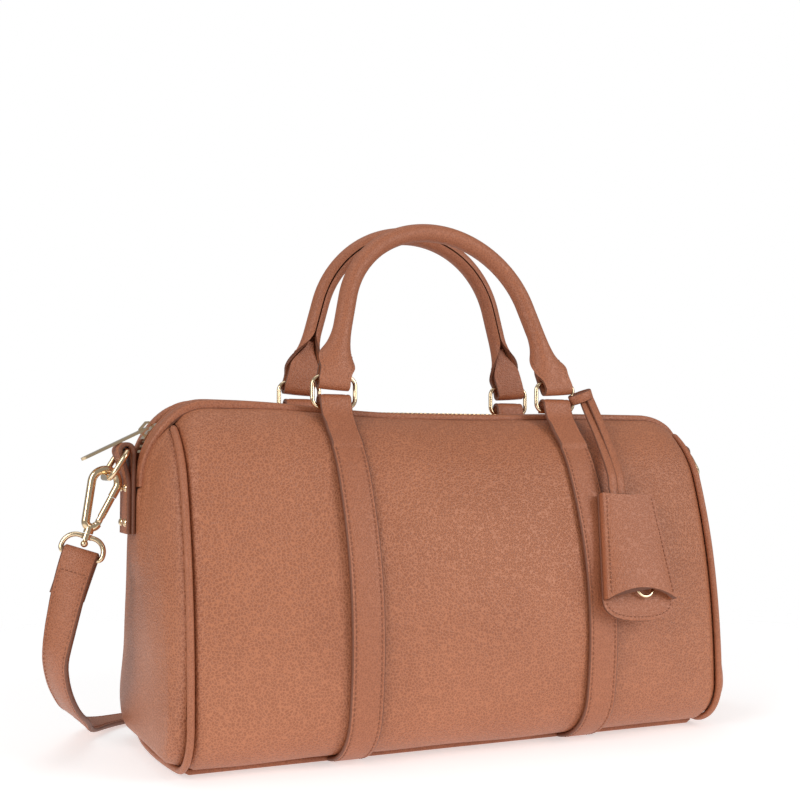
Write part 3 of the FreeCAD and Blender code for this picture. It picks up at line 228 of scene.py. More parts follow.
def leather_finish(name, hide, line, pebbles, depth, roughness):
    material, tree, shader = new_material(name)
    grain = add_node(tree, "ShaderNodeGroup", {
        "Hide": (*hide, 1), "Line": (*line, 1), "Pebbles per metre": pebbles, "Depth": depth,
        "Roughness": roughness,
    }, node_tree=grain_tree)
    bump = add_node(tree, "ShaderNodeBump",
                    {"Strength": 0.45, "Distance": 0.0005, "Height": grain.outputs["Height"]})
    feed(tree, shader, {
        "Base Color": grain.outputs["Colour"], "Roughness": grain.outputs["Roughness"],
        "Normal": bump.outputs["Normal"],
    })
    return material


HIDE, HIDE_LINE = (0.33, 0.106, 0.046), (0.51, 0.188, 0.09)
STRAP_LINE = (0.46, 0.162, 0.077)
panel_leather = leather_finish("panel_leather", HIDE, HIDE_LINE, 600, 1.0, 0.36)
strap_leather = leather_finish("strap_leather", HIDE, STRAP_LINE, 720, 0.6, 0.36)
edge_paint = leather_finish("edge_paint", (0.17, 0.06, 0.031), (0.21, 0.076, 0.04), 500, 0.12, 0.4)
# The stitch thread itself is about the hide's tone; it is coloured darker here as painted shade of the stitch
# holes it sits in.
hole_shaded_thread = leather_finish("hole_shaded_thread", (0.24, 0.08, 0.038), (0.34, 0.12, 0.06), 1900, 0.8, 0.5)
print("leathers:", [m.name for m in (panel_leather, strap_leather, edge_paint, hole_shaded_thread)])

# %% [markdown]
# ## Woven cloth
# The lining and the zip tape are woven. Two sets of bands at right angles, one over the other, are the
# simplest weave: the product of two sine waves makes a checker of soft bumps.

# %% Weave group
weave_tree, weave_in, weave_out = new_group(
    "plain_weave",
    [
        ("Thread", "NodeSocketColor", (0.3, 0.2, 0.15, 1)),
        ("Gap", "NodeSocketColor", (0.1, 0.06, 0.04, 1)),
        ("Threads per metre", "NodeSocketFloat", 1500.0),
    ],
    [("Colour", "NodeSocketColor"), ("Height", "NodeSocketFloat")],
)


def build_weave(tree, group_in, group_out):
    place = add_node(tree, "ShaderNodeTexCoord").outputs["Object"]
    scale = add_node(tree, "ShaderNodeVectorMath", {0: place, "Scale": group_in.outputs["Threads per metre"]},
                     operation="SCALE")
    parts = add_node(tree, "ShaderNodeSeparateXYZ", {"Vector": scale.outputs["Vector"]})
    wave_x, wave_y, wave_z = [
        calculate(tree, "SINE", calculate(tree, "MULTIPLY", parts.outputs[axis], math.pi)) for axis in "XYZ"
    ]
    upright = calculate(tree, "ADD", wave_y, wave_z)
    cross = calculate(tree, "MULTIPLY_ADD", wave_x, upright, 0.5)
    colour = blend(tree, cross, group_in.outputs["Gap"], group_in.outputs["Thread"])
    feed(tree, group_out, {"Colour": colour, "Height": cross})


build_weave(weave_tree, weave_in, weave_out)


def cloth_finish(name, thread_colour, gap, threads):
    material, tree, shader = new_material(name)
    weave = add_node(tree, "ShaderNodeGroup", {
        "Thread": (*thread_colour, 1), "Gap": (*gap, 1), "Threads per metre": threads,
    }, node_tree=weave_tree)
    bump = add_node(tree, "ShaderNodeBump",
                    {"Strength": 0.3, "Distance": 0.0002, "Height": weave.outputs["Height"]})
    feed(tree, shader, {
        "Base Color": weave.outputs["Colour"], "Normal": bump.outputs["Normal"], "Roughness": 0.8,
    })
    return material


lining_cloth = cloth_finish("lining_cloth", (0.24, 0.17, 0.12), (0.12, 0.08, 0.055), 1300)
tape_cloth = cloth_finish("tape_cloth", (0.2, 0.07, 0.035), (0.09, 0.03, 0.015), 1700)
board_finish = cloth_finish("board_finish", (0.3, 0.24, 0.18), (0.22, 0.17, 0.12), 700)
print("cloths:", lining_cloth.name, tape_cloth.name, board_finish.name)

# %% [markdown]
# ## Gold hardware
# The fittings are plated in a pale gold and polished. Handling leaves slightly duller and darker patches, so
# the roughness and the colour change a little over the surface instead of being one value.

# %% Polished gold
WORN, WORN_DULL = (0.95, 0.92, 0.86), 0.06


def gold_finish(name, colour, dull):
    material, tree, shader = new_material(name)
    place = add_node(tree, "ShaderNodeTexCoord").outputs["Object"]
    patches = noise_node(tree, place, 120, 2).outputs["Fac"]
    worn = [part * share for part, share in zip(colour, WORN)]
    feed(tree, shader, {
        "Base Color": blend(tree, patches, (*colour, 1), (*worn, 1)),
        "Roughness": remap(tree, patches, (0, 1), (dull, dull + WORN_DULL)),
        "Metallic": 1,
    })
    return material


pale_gold = gold_finish("pale_gold", (0.88, 0.69, 0.46), 0.13)
zip_gold = gold_finish("zip_gold", (0.74, 0.55, 0.3), 0.2)
GOLD_WORDS = ("ring", "hook", "gate", "pin", "eye", "studs", "slider", "pull")
gilded = 0
for node_name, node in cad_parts.items():
    finish = None
    if any(word in node_name.split("_") for word in GOLD_WORDS):
        finish = pale_gold
    if "teeth" in node_name or "stops" in node_name:
        finish = zip_gold
    if node_name == "base_board":
        finish = board_finish
    if finish:
        node.data.materials.clear()
        node.data.materials.append(finish)
        gilded += 1
print("CAD nodes with a new finish:", gilded)

# %% [markdown]
# ## From a flat grid to a piece of leather
# Almost every soft part of a bag starts flat: a panel, a strip, a strap. So every piece of leather and
# cloth here starts as a flat grid from Blender's own operator, and each corner of the grid is then carried to
# its place, as a maker bends the cut leather over a form.

# %% Grid helpers


def carried_grid(columns, rows, carry):
    """Grid whose corner at column share u and row share v goes to carry(u, v), in millimetres."""
    shape = bmesh.new()
    bmesh.ops.create_grid(shape, x_segments=columns, y_segments=rows, size=0.5)
    for corner in shape.verts:
        corner.co = Vector(carry(corner.co.x + 0.5, corner.co.y + 0.5)) * MM
    bmesh.ops.remove_doubles(shape, verts=shape.verts, dist=0.00001)
    return shape


def turned_from(shape, direction):
    """Whether most of a sheet's surface faces away from a direction."""
    whole = sum((face.normal * face.calc_area() for face in shape.faces), Vector())
    return whole.dot(Vector(direction)) < 0


def finish_piece(shape, name, body, materials, nodes=(), sharp=40, facing=None):
    """Closes the mesh into an object that rides on a body and stands for CAD nodes; facing is an open
    sheet's outer side."""
    bmesh.ops.recalc_face_normals(shape, faces=shape.faces)
    shape.normal_update()
    if facing and turned_from(shape, facing):
        bmesh.ops.reverse_faces(shape, faces=shape.faces)
    mesh = bpy.data.meshes.new(name)
    shape.to_mesh(mesh)
    shape.free()
    for material in materials:
        mesh.materials.append(material)
    mesh.shade_smooth()
    mesh.set_sharp_from_angle(angle=math.radians(sharp))
    piece = bpy.data.objects.new(name, mesh)
    bpy.context.scene.collection.objects.link(piece)
    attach(piece, body)
    if nodes:
        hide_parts(*nodes)
    print(name, "has", len(mesh.polygons), "faces")
    return piece


def finish_strap(shape, name, body, nodes, sharp=50):
    """Finished piece of strap leather with painted edges."""
    finish_piece(shape, name, body, [strap_leather, edge_paint], nodes, sharp)


def thicken(piece, thickness):
    """Gives an open sheet its thickness, inwards from its outer side."""
    wall = piece.modifiers.new("thickness", "SOLIDIFY")
    wall.thickness = thickness * MM
    wall.offset = -1
    wall.use_even_offset = True


def together(shapes):
    """Several meshes as one."""
    whole = shapes[0]
    for other in shapes[1:]:
        passing = bpy.data.meshes.new("passing")
        other.to_mesh(passing)
        other.free()
        whole.from_mesh(passing)
        bpy.data.meshes.remove(passing)
    return whole


# %% [markdown]
# ## Straps, rolls and cords are sweeps
# A strap has one cross section that travels along a route. The route is a list of stations, each with a
# middle point, the direction across the strap and the direction out of its face. The section is a closed
# ring of points, with a mark where its side is a painted edge.

# %% Sweep helpers


def stations_along(points, across):
    """Stations (middle, across, outward) for a route with a fixed or a listed across direction."""
    made = []
    for index, middle in enumerate(points):
        before = points[max(index - 1, 0)]
        after = points[min(index + 1, len(points) - 1)]
        heading = (after - before).normalized()
        side = across[index] if isinstance(across, list) else across
        side = (side - heading * side.dot(heading)).normalized()
        made.append((middle, side, side.cross(heading).normalized()))
    return made


def sweep(stations, rings, painted=()):
    """Closed tube through the stations, with a ring of (across, outward) points for each; a point may have a
    third value, along the route."""
    around = len(rings[0])
    shape = bmesh.new()
    bmesh.ops.create_grid(shape, x_segments=len(stations) - 1, y_segments=around, size=0.5)
    for face in shape.faces:
        row = int((face.calc_center_median().y + 0.5) * around)
        face.material_index = 1 if row in painted else 0
    for corner in shape.verts:
        index = round((corner.co.x + 0.5) * (len(stations) - 1))
        row = round((corner.co.y + 0.5) * around) % around
        middle, side, outward = stations[index]
        wide, high, *ahead = rings[index][row]
        place = middle + side * wide + outward * high
        for along in ahead:
            place += outward.cross(side) * along
        corner.co = place * MM
    bmesh.ops.remove_doubles(shape, verts=shape.verts, dist=0.000002)
    rims = [edge for edge in shape.edges if edge.is_boundary]
    if rims:
        caps = bmesh.ops.holes_fill(shape, edges=rims, sides=0)["faces"]
        for cap in caps:
            cap.material_index = 1 if painted else 0
    return shape


STITCH_INSET, STITCH_DIP = 2.2, 0.22


def strap_section(width, thickness, inset=STITCH_INSET, dip=STITCH_DIP):
    """Ring of a sewn strap: flat back, painted edges, and a face that sinks along its two stitch lines."""
    half, top = width / 2, thickness / 2
    turn = 0.3 * thickness
    face = [
        (half, top - turn),
        (half - 0.3 * turn, top - 0.3 * turn),
        (half - turn, top),
        (half - inset + 0.7, top),
        (half - inset, top - dip),
        (half - inset - 0.7, top),
        (half - inset - 2, top + 0.1),
    ]
    mirrored = [(-wide, high) for wide, high in reversed(face)]
    back = [(-half, -top + turn), (-half + turn, -top), (half - turn, -top), (half, -top + turn)]
    return face + mirrored + back


STRAP_EDGES = (0, 1, 11, 12, 13, 14, 16, 17)


def strap_sweep(stations, ring):
    """Strap with one section all along its route."""
    return sweep(stations, [ring] * len(stations), STRAP_EDGES)


# %% [markdown]
# ## Stitches
# A lockstitch seen from above is a row of short, slightly sunk grains of thread. One grain is a small ball
# of a few faces, stretched along the seam; the row is that grain repeated at the stitch length.

# %% Stitch helpers
STITCH_PITCH = 2.9
# How far a thread lies sunk in thin and in padded leather
SUNK, DEEP_SUNK = 0.1, 0.12
# Pitch, length, width and height of the finer stitches
HANDLE_STITCH, TAB_STITCH = (2.6, 1.9, 0.7, 0.5), (2.7, 2.0, 0.7, 0.5)
LIP_STITCH, COVER_STITCH = (2.5, 1.9, 0.8, 0.6), (2.6, 1.9, 0.8, 0.6)


def evenly(stations, pitch):
    """Stations at an even pitch along a route."""
    made = []
    carry = pitch / 2
    for (start, side, out), (end, next_side, next_out) in zip(stations, stations[1:]):
        length = (end - start).length
        while carry <= length:
            share = carry / length
            heading = (end - start).normalized()
            made.append((start.lerp(end, share), heading, out.lerp(next_out, share).normalized()))
            carry += pitch
        carry -= length
    return made


def stitch_row(stations, name, body, pitch=STITCH_PITCH, long=2.2, wide=0.95, high=0.8):
    """Row of thread grains along the stations, whose outward direction is the face's."""
    shape = bmesh.new()
    for middle, heading, outward in evenly(stations, pitch):
        grain = bmesh.ops.create_uvsphere(shape, u_segments=6, v_segments=4, radius=0.5)["verts"]
        side = outward.cross(heading).normalized()
        outward = heading.cross(side)
        turn = Matrix((heading * long, side * wide, outward * high)).transposed().to_4x4() * MM
        turn[3][3] = 1
        bmesh.ops.transform(shape, matrix=Matrix.Translation(middle * MM) @ turn, verts=grain)
    finish_piece(shape, name, body, [hole_shaded_thread], sharp=180)


def beside(stations, wide, high):
    """The same route moved across its strap and out of its face."""
    return [(middle + side * wide + out * high, side, out) for middle, side, out in stations]


# %% [markdown]
# ## Shape of the body
# The front rolls up from the base on a tight arc, rises on a very large one and turns over to the zip on a
# third. Between the ends the stuffed bag swells. This is the one formula that the panels, the straps and
# their stitches all share, so they stay on each other.

# %% Flank of the bag
HALF_LENGTH, PIPING = 164.0, 2.0
CORNER_X, CORNER_RADIUS = 142.0, 35.0
BASE_SEAM = (43.0, 3.2)
LOW_CENTRE, LOW_RADIUS, LOW_START = (BASE_SEAM[0], 29.2), 26.0, -85.15
BOW_CENTRE, BOW_RADIUS, BOW_END = (-376.0, 29.2), 445.0, 16.694
SHOULDER_RADIUS, TOP_END, SWELL = 54.7, 63.81, 16.0
LEFT_LIFT, MIDDLE_SAG = 3.4, 1.4
SHOULDER_CENTRE = (
    BOW_CENTRE[0] + (BOW_RADIUS - SHOULDER_RADIUS) * cosine(BOW_END),
    BOW_CENTRE[1] + (BOW_RADIUS - SHOULDER_RADIUS) * sine(BOW_END),
)
FLANK_ARCS = (
    (LOW_CENTRE, LOW_RADIUS, LOW_START, 0),
    (BOW_CENTRE, BOW_RADIUS, 0, BOW_END),
    (SHOULDER_CENTRE, SHOULDER_RADIUS, BOW_END, TOP_END),
)
FLANK_LENGTHS = [radius * math.radians(end - start) for centre, radius, start, end in FLANK_ARCS]
FLANK_LENGTH = sum(FLANK_LENGTHS)


def sag(x):
    """How far the soft top seam lies above a straight one: up at the left, low in the middle."""
    left = LEFT_LIFT * (1 - ease(-x, 150, 178))
    return mix(mix(left, -MIDDLE_SAG, ease(x, -125, -20)), 0, ease(x, 20, 100))


def corner_drop(x):
    """How far the top seam has turned down towards an end."""
    past = max(0, abs(x) - CORNER_X)
    return CORNER_RADIUS - math.sqrt(CORNER_RADIUS ** 2 - past ** 2)


def flank(x, share, offset, side):
    """Point on the bag's front (side -1) or back (1), share of the way up from the base seam to the zip."""
    along = share * FLANK_LENGTH
    for arc, length in zip(FLANK_ARCS, FLANK_LENGTHS):
        if along <= length or arc is FLANK_ARCS[-1]:
            break
        along -= length
    centre, radius, start = arc[:3]
    angle = start + math.degrees(along / radius)
    swell = SWELL * (1 - (x / HALF_LENGTH) ** 2) * math.sin(math.pi * min(share, 1))
    depth = centre[0] + (radius + offset) * cosine(angle) + swell
    lift = (sag(x) - corner_drop(x)) * ease(share, 0.5, 0.97)
    return Vector((x, side * depth, centre[1] + (radius + offset) * sine(angle) + lift))


top_seam = flank(0, 1, 0, 1).z
print("flank is", round(FLANK_LENGTH, 1), "mm from base seam to zip; top seam at", round(top_seam, 1))

# %% [markdown]
# ## Front and back panels
# Each panel is one piece of leather. It is fullest in the middle, and along all four seams it dips to the
# stitching, because the seam pulls it in. A slow, slight wave keeps it from looking like sheet metal.

# %% Panels
PANEL_HALF, PANEL_SHEET, SLACK = 161.8, 1.9, 1.0
# How far the leather runs on under the zip facing, and how steeply
TUCK, TUCK_SLOPE = 6.0, 0.12
# Reach and depth of the dip along each seam
END_DIP, BASE_DIP, TOP_DIP = (4.5, 2.0), (5, 0.8), (4, 0.7)


def seam_dip(distance, reach, depth):
    """How far leather sinks at this distance from a seam."""
    return depth * (1 - ease(distance, 0, reach))


def panel_surface(u, v, side):
    x = mix(-PANEL_HALF, PANEL_HALF, u)
    along = v * (FLANK_LENGTH + TUCK)
    share = min(1, along / FLANK_LENGTH)
    slack = SLACK * noise.noise(Vector((x * 0.018, share * 4, side * 3)))
    sink = seam_dip(PANEL_HALF - abs(x), *END_DIP) + seam_dip(along, *BASE_DIP)
    sink += seam_dip((1 - share) * FLANK_LENGTH, *TOP_DIP)
    point = flank(x, share, slack * ease(PANEL_HALF - abs(x), 0, 30) - sink, side)
    under = max(0, along - FLANK_LENGTH)
    return point - Vector((0, side * under, TUCK_SLOPE * under))


for face_name, side in FRONT_AND_BACK:
    panel = carried_grid(150, 92, lambda u, v: panel_surface(u, v, side))
    panel = finish_piece(panel, f"{face_name}_leather", "bag", [panel_leather], [f"{face_name}_panel"],
                         70, (0, side, 0))
    thicken(panel, PANEL_SHEET)

# %% [markdown]
# ## Base
# The base is a flat piece over a board, with a slight pillow where it meets the piping, so that it rests on
# its middle.

# %% Base leather
BASE_HALF, BASE_SHEET = 40.8, 1.6
BASE_BOW, BOW_HALF = 3.0, 46
PILLOW, PILLOW_TOP = (6, 0.9), 1.2


def base_bow(y, z):
    """How far the foot of an end stands out past the straight seam, fullest in the middle of the base."""
    return BASE_BOW * max(0, 1 - (y / BOW_HALF) ** 2) * (1 - ease(z, 5, 40))


def base_surface(u, v):
    y = mix(-BASE_HALF, BASE_HALF, v)
    half = PANEL_HALF + base_bow(y, 0)
    x = mix(-half, half, u)
    rise = seam_dip(BASE_HALF - abs(y), *PILLOW) + seam_dip(half - abs(x), *PILLOW)
    return (x, y, min(rise, PILLOW_TOP))


base = carried_grid(80, 40, base_surface)
base = finish_piece(base, "base_leather", "bag", [panel_leather], ["base_panel"], 70, (0, 0, -1))
thicken(base, BASE_SHEET)

# %% [markdown]
# ## Ends
# An end is a soft cushion: it rolls out from its seam on a round edge and goes on as a slow dome. Going round
# its outline in one direction and in towards the middle in the other makes a round grid that closes at the
# middle. At the top it runs in under the zip strip.

# %% End outline
STRIP_CENTRE, STRIP_RADIUS = (CORNER_X, 155.57), CORNER_RADIUS
STRIP_TAIL, TAPER_TOP, STRIP_HALF, TAIL_HALF = 149.57, 184.37, 22.0, 11.5


def half_outline(offset, count, hand):
    """Points (depth, height) from the middle of the base up the back to the middle of the top."""
    points = [(BASE_SEAM[0] * step / 8, BASE_SEAM[1] - offset) for step in range(8)]
    for step in range(count + 1):
        point = flank(hand * HALF_LENGTH, step / count, offset, 1)
        points.append((point.y, point.z))
    top = points[-1]
    points += [(top[0] * (1 - step / 6), top[1]) for step in range(1, 7)]
    return points


def end_outline(offset, hand, count=130):
    rising = half_outline(offset, count, hand)
    return rising + [(-depth, height) for depth, height in reversed(rising[:-1])][:-1]


def strip_half_at(height):
    return mix(TAIL_HALF, STRIP_HALF, min(1, max(0, (height - STRIP_TAIL) / (TAPER_TOP - STRIP_TAIL))))


def strip_underside(height):
    """How far out the underside of the zip strip is at a height on an end."""
    rise = min(STRIP_RADIUS, max(0, height - STRIP_CENTRE[1]))
    return STRIP_CENTRE[0] + math.sqrt(STRIP_RADIUS ** 2 - rise ** 2)


# %% Ends
# Round edge, dome and the height of its middle; the low values are for the foot of the end
ROUND, LOW_ROUND, DOME, LOW_DOME, DOME_HEIGHT = 7.0, 9.5, 7.5, 5.5, 105.0
LOW_CURL, CURL = 8, 20
# Place of the leather under a side tab, inset of the edge from the seam, and thickness
TAB_SEAT, RIM_INSET, END_SHEET = 179.9, 2.7, 1.8


def end_surface(u, v, side, rim):
    depth, height = rim[int(round(u * len(rim))) % len(rim)]
    share = 1 - v
    y = depth * share
    z = DOME_HEIGHT + (height - DOME_HEIGHT) * share
    inward = v * math.hypot(depth, height - DOME_HEIGHT)
    curl = mix(LOW_CURL, CURL, ease(z, 10, 70))
    rounded = math.sqrt(1 - (1 - min(1, inward / curl)) ** 2)
    edge = max(mix(LOW_ROUND, ROUND, ease(z, 15, 60)) * rounded, base_bow(y, z))
    x = HALF_LENGTH + edge + mix(LOW_DOME, DOME, ease(z, 80, 125)) * (1 - share ** 2)
    x += 0.5 * noise.noise(Vector((y * 0.02, z * 0.02, side * 5))) * ease(v, 0, 0.3)
    seat = (1 - ease(abs(y), 9.5, 24)) * ease(z, 96, 118) * (1 - ease(z, 140, 170))
    x = mix(x, TAB_SEAT, seat)
    if z > STRIP_TAIL - 16:
        cover = 1 - ease(abs(y), strip_half_at(z) - 0.5, strip_half_at(z) + 9)
        fall = mix(2, 16, ease(abs(y), 10, 14))
        x = mix(x, strip_underside(z) - 0.1, cover * ease(z, STRIP_TAIL + 1 - fall, STRIP_TAIL + 1))
    return (side * x, y, z)


for hand_name, hand in LEFT_AND_RIGHT:
    rim = end_outline(-RIM_INSET, hand)
    end = carried_grid(len(rim), 48, lambda u, v: end_surface(u, v, hand, rim))
    end = finish_piece(end, f"{hand_name}_end_leather", "bag", [panel_leather], [f"{hand_name}_end_panel"],
                       70, (hand, 0, 0))
    thicken(end, END_SHEET)

# %% [markdown]
# ## Piping
# A cord wrapped in leather is sewn into the seam round each end and along the base. It keeps the edge of
# the bag in shape. The piping of an end stops on both sides of the zip strip, with rounded ends.

# %% Piping
CORD_TIP, CORD_TIP_RADIUS, CORD_INSET = 3.0, 0.12, 0.5
CORD_ANGLES = [30 * step for step in range(12)]


def pipe(points, across, name):
    """Piping with rounded ends along the points, named after its seam."""
    lengths = [0]
    for start, end in zip(points, points[1:]):
        lengths.append(lengths[-1] + (end - start).length)
    rings = []
    for length in lengths:
        share = min(1, min(length, lengths[-1] - length) / CORD_TIP)
        radius = max(CORD_TIP_RADIUS, PIPING * math.sqrt(1 - (1 - share) ** 2))
        rings.append([(radius * cosine(angle), radius * sine(angle)) for angle in CORD_ANGLES])
    cord = sweep(stations_along(points, Vector(across)), rings)
    finish_piece(cord, f"{name}_cord", "bag", [strap_leather], [f"{name}_piping"], 60)


def end_cord_route(hand):
    """Route of an end piping from its front top round under the base to its back top."""
    rising = half_outline(-CORD_INSET, 170, hand)
    rising = [(depth, height) for depth, height in rising if not (height > 150 and depth < STRIP_HALF + 3)]
    falling = [(-depth, height) for depth, height in reversed(rising)]
    made = []
    for depth, height in falling[:-1] + rising:
        made.append(Vector((hand * (HALF_LENGTH + base_bow(depth, height)), depth, height)))
    return made


for hand_name, hand in LEFT_AND_RIGHT:
    pipe(end_cord_route(hand), (1, 0, 0), f"{hand_name}_end")
for face_name, side in FRONT_AND_BACK:
    seam = side * BASE_SEAM[0]
    route = [Vector((mix(-PANEL_HALF, PANEL_HALF, step / 90), seam, PIPING)) for step in range(91)]
    pipe(route, (0, 1, 0), f"{face_name}_base")

# %% [markdown]
# ## Zip strip
# Two leather facings and two woven tapes run over the top and down both ends. The facing is turned over at
# the zip, which makes a thick soft edge there, and its outer edge is sewn down over the panel.

# %% Route of the strip


def strip_route(offset):
    """Points from the left tail over the top to the right tail, offset out from the strip's underside."""
    radius = STRIP_RADIUS + offset
    middle, level = STRIP_CENTRE
    left = [Vector((-middle - radius, 0, mix(STRIP_TAIL, level, step / 3))) for step in range(3)]
    for step in range(25):
        angle = mix(180, 90, step / 24)
        left.append(Vector((-middle + radius * cosine(angle), 0, level + radius * sine(angle))))
    over = [Vector((mix(-middle, middle, step / 50), 0, level + radius)) for step in range(1, 50)]
    right = [Vector((-point.x, 0, point.z)) for point in reversed(left)]
    return left + over + right


# %% Facings and tapes
# The dark row of a facing's ring is partly its painted cut edge and partly painted shade of the seam beside
# the panel: it runs down below the facing as a skirt that shows where the panel dips.
FACING_INNER, FACING_EDGE_AND_SEAM_SHADE = 6.5, (13,)
TAPE_INNER, TAPE_OUTER, TAPE_TOP, TAPE_FOOT = 0.9, 10.4, -0.3, -1.0
# How much thicker the facing is near the left corner
LEFT_PLUMP = 0.45
strip_stations = stations_along(strip_route(0), Vector((0, 1, 0)))
strip_up = math.copysign(1, strip_stations[len(strip_stations) // 2][2].z)


def facing_section(index, side):
    """Ring of a facing, from its turned edge at the zip out to its sewn edge."""
    middle = strip_stations[index][0]
    wide = strip_half_at(middle.z) - FACING_INNER
    plump = 1 + LEFT_PLUMP * (1 - ease(middle.x, -150, -60)) * (1 - ease(-middle.x, 146, 168))
    ring = [
        (0, 0.5), (0.0, 1.8), (0.5, 2.6), (1.5, 3.0), (2.8, 2.75), (3.4, 2.3), (4.2, 2.45),
        (wide * 0.55, 2.6), (wide - 3.4, 2.5), (wide - 2.2, 2.1), (wide - 1.2, 2.2), (wide - 0.35, 1.7),
        (wide, 0.7), (wide - 0.05, -0.7), (wide - 0.3, -1.8), (wide * 0.5, 0.05), (0.4, 0.05),
    ]
    rise = sag(middle.x)
    return [(side * (FACING_INNER + across), strip_up * (high * plump + rise)) for across, high in ring]


for face_name, side in FRONT_AND_BACK:
    rings = [facing_section(index, side) for index in range(len(strip_stations))]
    finish_strap(sweep(strip_stations, rings, FACING_EDGE_AND_SEAM_SHADE), f"{face_name}_facing_leather", "bag",
                 [f"{face_name}_zip_facing"], 60)
    inner, outer = side * TAPE_INNER, side * TAPE_OUTER
    low, high = TAPE_TOP * strip_up, TAPE_FOOT * strip_up
    ring = [(inner, low), (outer, low), (outer, high), (inner, high)]
    finish_piece(sweep(strip_stations, [ring] * len(strip_stations)), f"{face_name}_tape_cloth", "bag",
                 [tape_cloth], [f"{face_name}_zip_tape"], 30)

# %% [markdown]
# ## Lining
# Inside, a thin cloth follows the leather. It shows only when the bag is cut open or seen through the zip,
# but a model without it would be an empty shell.

# %% Lining
LINING_HALF, LINING_INSET, LINING_RIM = 158.4, 2.8, 3.6
LINING_SHEET, LINING_END_SHEET = 0.5, 0.4
# Share of a half of the cloth that lies on the base, and how far up the flank the rest goes
FLOOR_SHARE, LINING_TOP = 0.18, 0.98


def lining_surface(u, v):
    x = mix(-LINING_HALF, LINING_HALF, u)
    row = v * 2 - 1
    side = 1 if row > 0 else -1
    if abs(row) < FLOOR_SHARE:
        edge = flank(x, 0, -LINING_INSET, 1)
        return (x, mix(0, edge.y, abs(row) / FLOOR_SHARE) * side, edge.z)
    share = LINING_TOP * (abs(row) - FLOOR_SHARE) / (1 - FLOOR_SHARE)
    return flank(x, share, -LINING_INSET - 0.3 * math.sin(x * 0.11) ** 2, side)


lining = carried_grid(60, 120, lining_surface)
lining = finish_piece(lining, "lining_cloth_body", "bag", [lining_cloth], ["lining"], 80)
thicken(lining, LINING_SHEET)
for hand_name, hand in LEFT_AND_RIGHT:
    edge = end_outline(-LINING_RIM, hand)

    def lining_end(u, v):
        depth, height = edge[int(round(u * len(edge))) % len(edge)]
        share = 1 - v
        x = LINING_HALF + 0.7 + 0.4 * math.sin(share * 9) * v
        y, z = depth * share, DOME_HEIGHT + (height - DOME_HEIGHT) * share
        cover = 1 - ease(abs(y), strip_half_at(z) - 0.5, strip_half_at(z) + 5)
        return (hand * min(x, mix(x, strip_underside(z) - 3, cover * ease(z, 160, 172))), y, z)

    cloth = finish_piece(carried_grid(len(edge), 14, lining_end), f"{hand_name}_lining_end_cloth", "bag",
                         [lining_cloth], [f"{hand_name}_lining_end"], 80)
    thicken(cloth, LINING_END_SHEET)

# %% [markdown]
# ## Body straps
# Four padded straps climb from the base seam to the handle rings. Each is sewn down along both edges, goes
# through its ring and is folded back to the bag. The strap and its stitches ride on the same route.

# %% Route of a body strap
RING_X, RING_Y, RING_HEIGHT = 72.7, 29.5, 202.6
STRAP_WIDTH, STRAP_THICK, STRAP_LIFT = 19.0, 2.4, 0.5
FOLD_MIDDLE, FOLD_TOP, FOLD_THICK = 3.2, 197.4, 2.0
# Distance from the fold where the strap leaves the flank, and heights of its two ways near the ring
LEAVE_FLANK, WAY_UP, WAY_DOWN = 7, (191.5, 194.5, FOLD_TOP), (FOLD_TOP, 195, 192.8)
# Stations below the ring that have a second layer, and its thickness
DOUBLED, SECOND_LAYER = 7, 1.2


def smoothed(points, times):
    """The points drawn towards their neighbours, several times; the first and the last stay."""
    for again in range(times):
        inner = [(a + b * 2 + c) / 4 for a, b, c in zip(points, points[1:], points[2:])]
        points = [points[0], *inner, points[-1]]
    return points


def body_strap_route(x, side):
    """Up the flank, off it to the ring, over the ring's bar and back down to the bag."""
    seat = STRAP_LIFT + STRAP_THICK / 2
    outside = abs(x) - STRAP_WIDTH / 2
    rise = []
    for step in range(120):
        point = flank(outside, step / 119, seat, side)
        if abs(point.y) < RING_Y + FOLD_MIDDLE + LEAVE_FLANK and step > 60:
            break
        rise.append(point)
    leg = [Vector((0, side * (RING_Y + FOLD_MIDDLE), height)) for height in WAY_UP]
    loop = []
    for step in range(1, 12):
        angle = 180 * step / 12
        depth = RING_Y + FOLD_MIDDLE * cosine(angle)
        loop.append(Vector((0, side * depth, FOLD_TOP + FOLD_MIDDLE * sine(angle))))
    down = [Vector((0, side * (RING_Y - FOLD_MIDDLE), height)) for height in WAY_DOWN]
    points = [Vector((x, point.y, point.z)) for point in rise + leg + loop + down]
    return smoothed(points, 3), len(rise)


# %% Body straps
ring = strap_section(STRAP_WIDTH, STRAP_THICK)
thin = strap_section(STRAP_WIDTH, FOLD_THICK)
double = strap_section(STRAP_WIDTH, STRAP_THICK + SECOND_LAYER)
double = [(wide, high + SECOND_LAYER / 2) for wide, high in double]
for face_name, side in FRONT_AND_BACK:
    for hand_name, hand in LEFT_AND_RIGHT:
        route, sewn = body_strap_route(hand * RING_X, side)
        stations = stations_along(route, Vector((-side, 0, 0)))
        rings = [ring] * (sewn - DOUBLED) + [double] * DOUBLED + [thin] * (len(stations) - sewn)
        name = f"{face_name}_{hand_name}"
        strap = sweep(stations, rings, STRAP_EDGES)
        finish_strap(strap, f"{name}_strap_leather", "bag", [f"{name}_body_strap"])
        for edge_name, wide in INNER_AND_OUTER:
            reach = wide * (STRAP_WIDTH / 2 - STITCH_INSET)
            row = beside(stations[2:sewn], reach, STRAP_THICK / 2 - DEEP_SUNK)
            stitch_row(row, f"{name}_strap_{edge_name}_stitches", "bag")

# %% [markdown]
# ## Rolled handles
# A handle is one strip of leather. Along the arch it is rolled round a cord until its two painted edges
# meet on the side of the zip. Towards the rings the roll opens into a flat tab, which goes round the ring
# and comes back up as a tongue inside the opening. So the section is an arc whose angle opens on the way.

# %% Route of a handle
ARCH_RADIUS, ARCH_HEIGHT, SPLAY = 61.3, 42.5, 15.0
ROLL_MIDDLE, ROLL_SHEET, ROLL_WIDTH, ROLL_WRAP = 4.5, 2.0, 27.4, 350
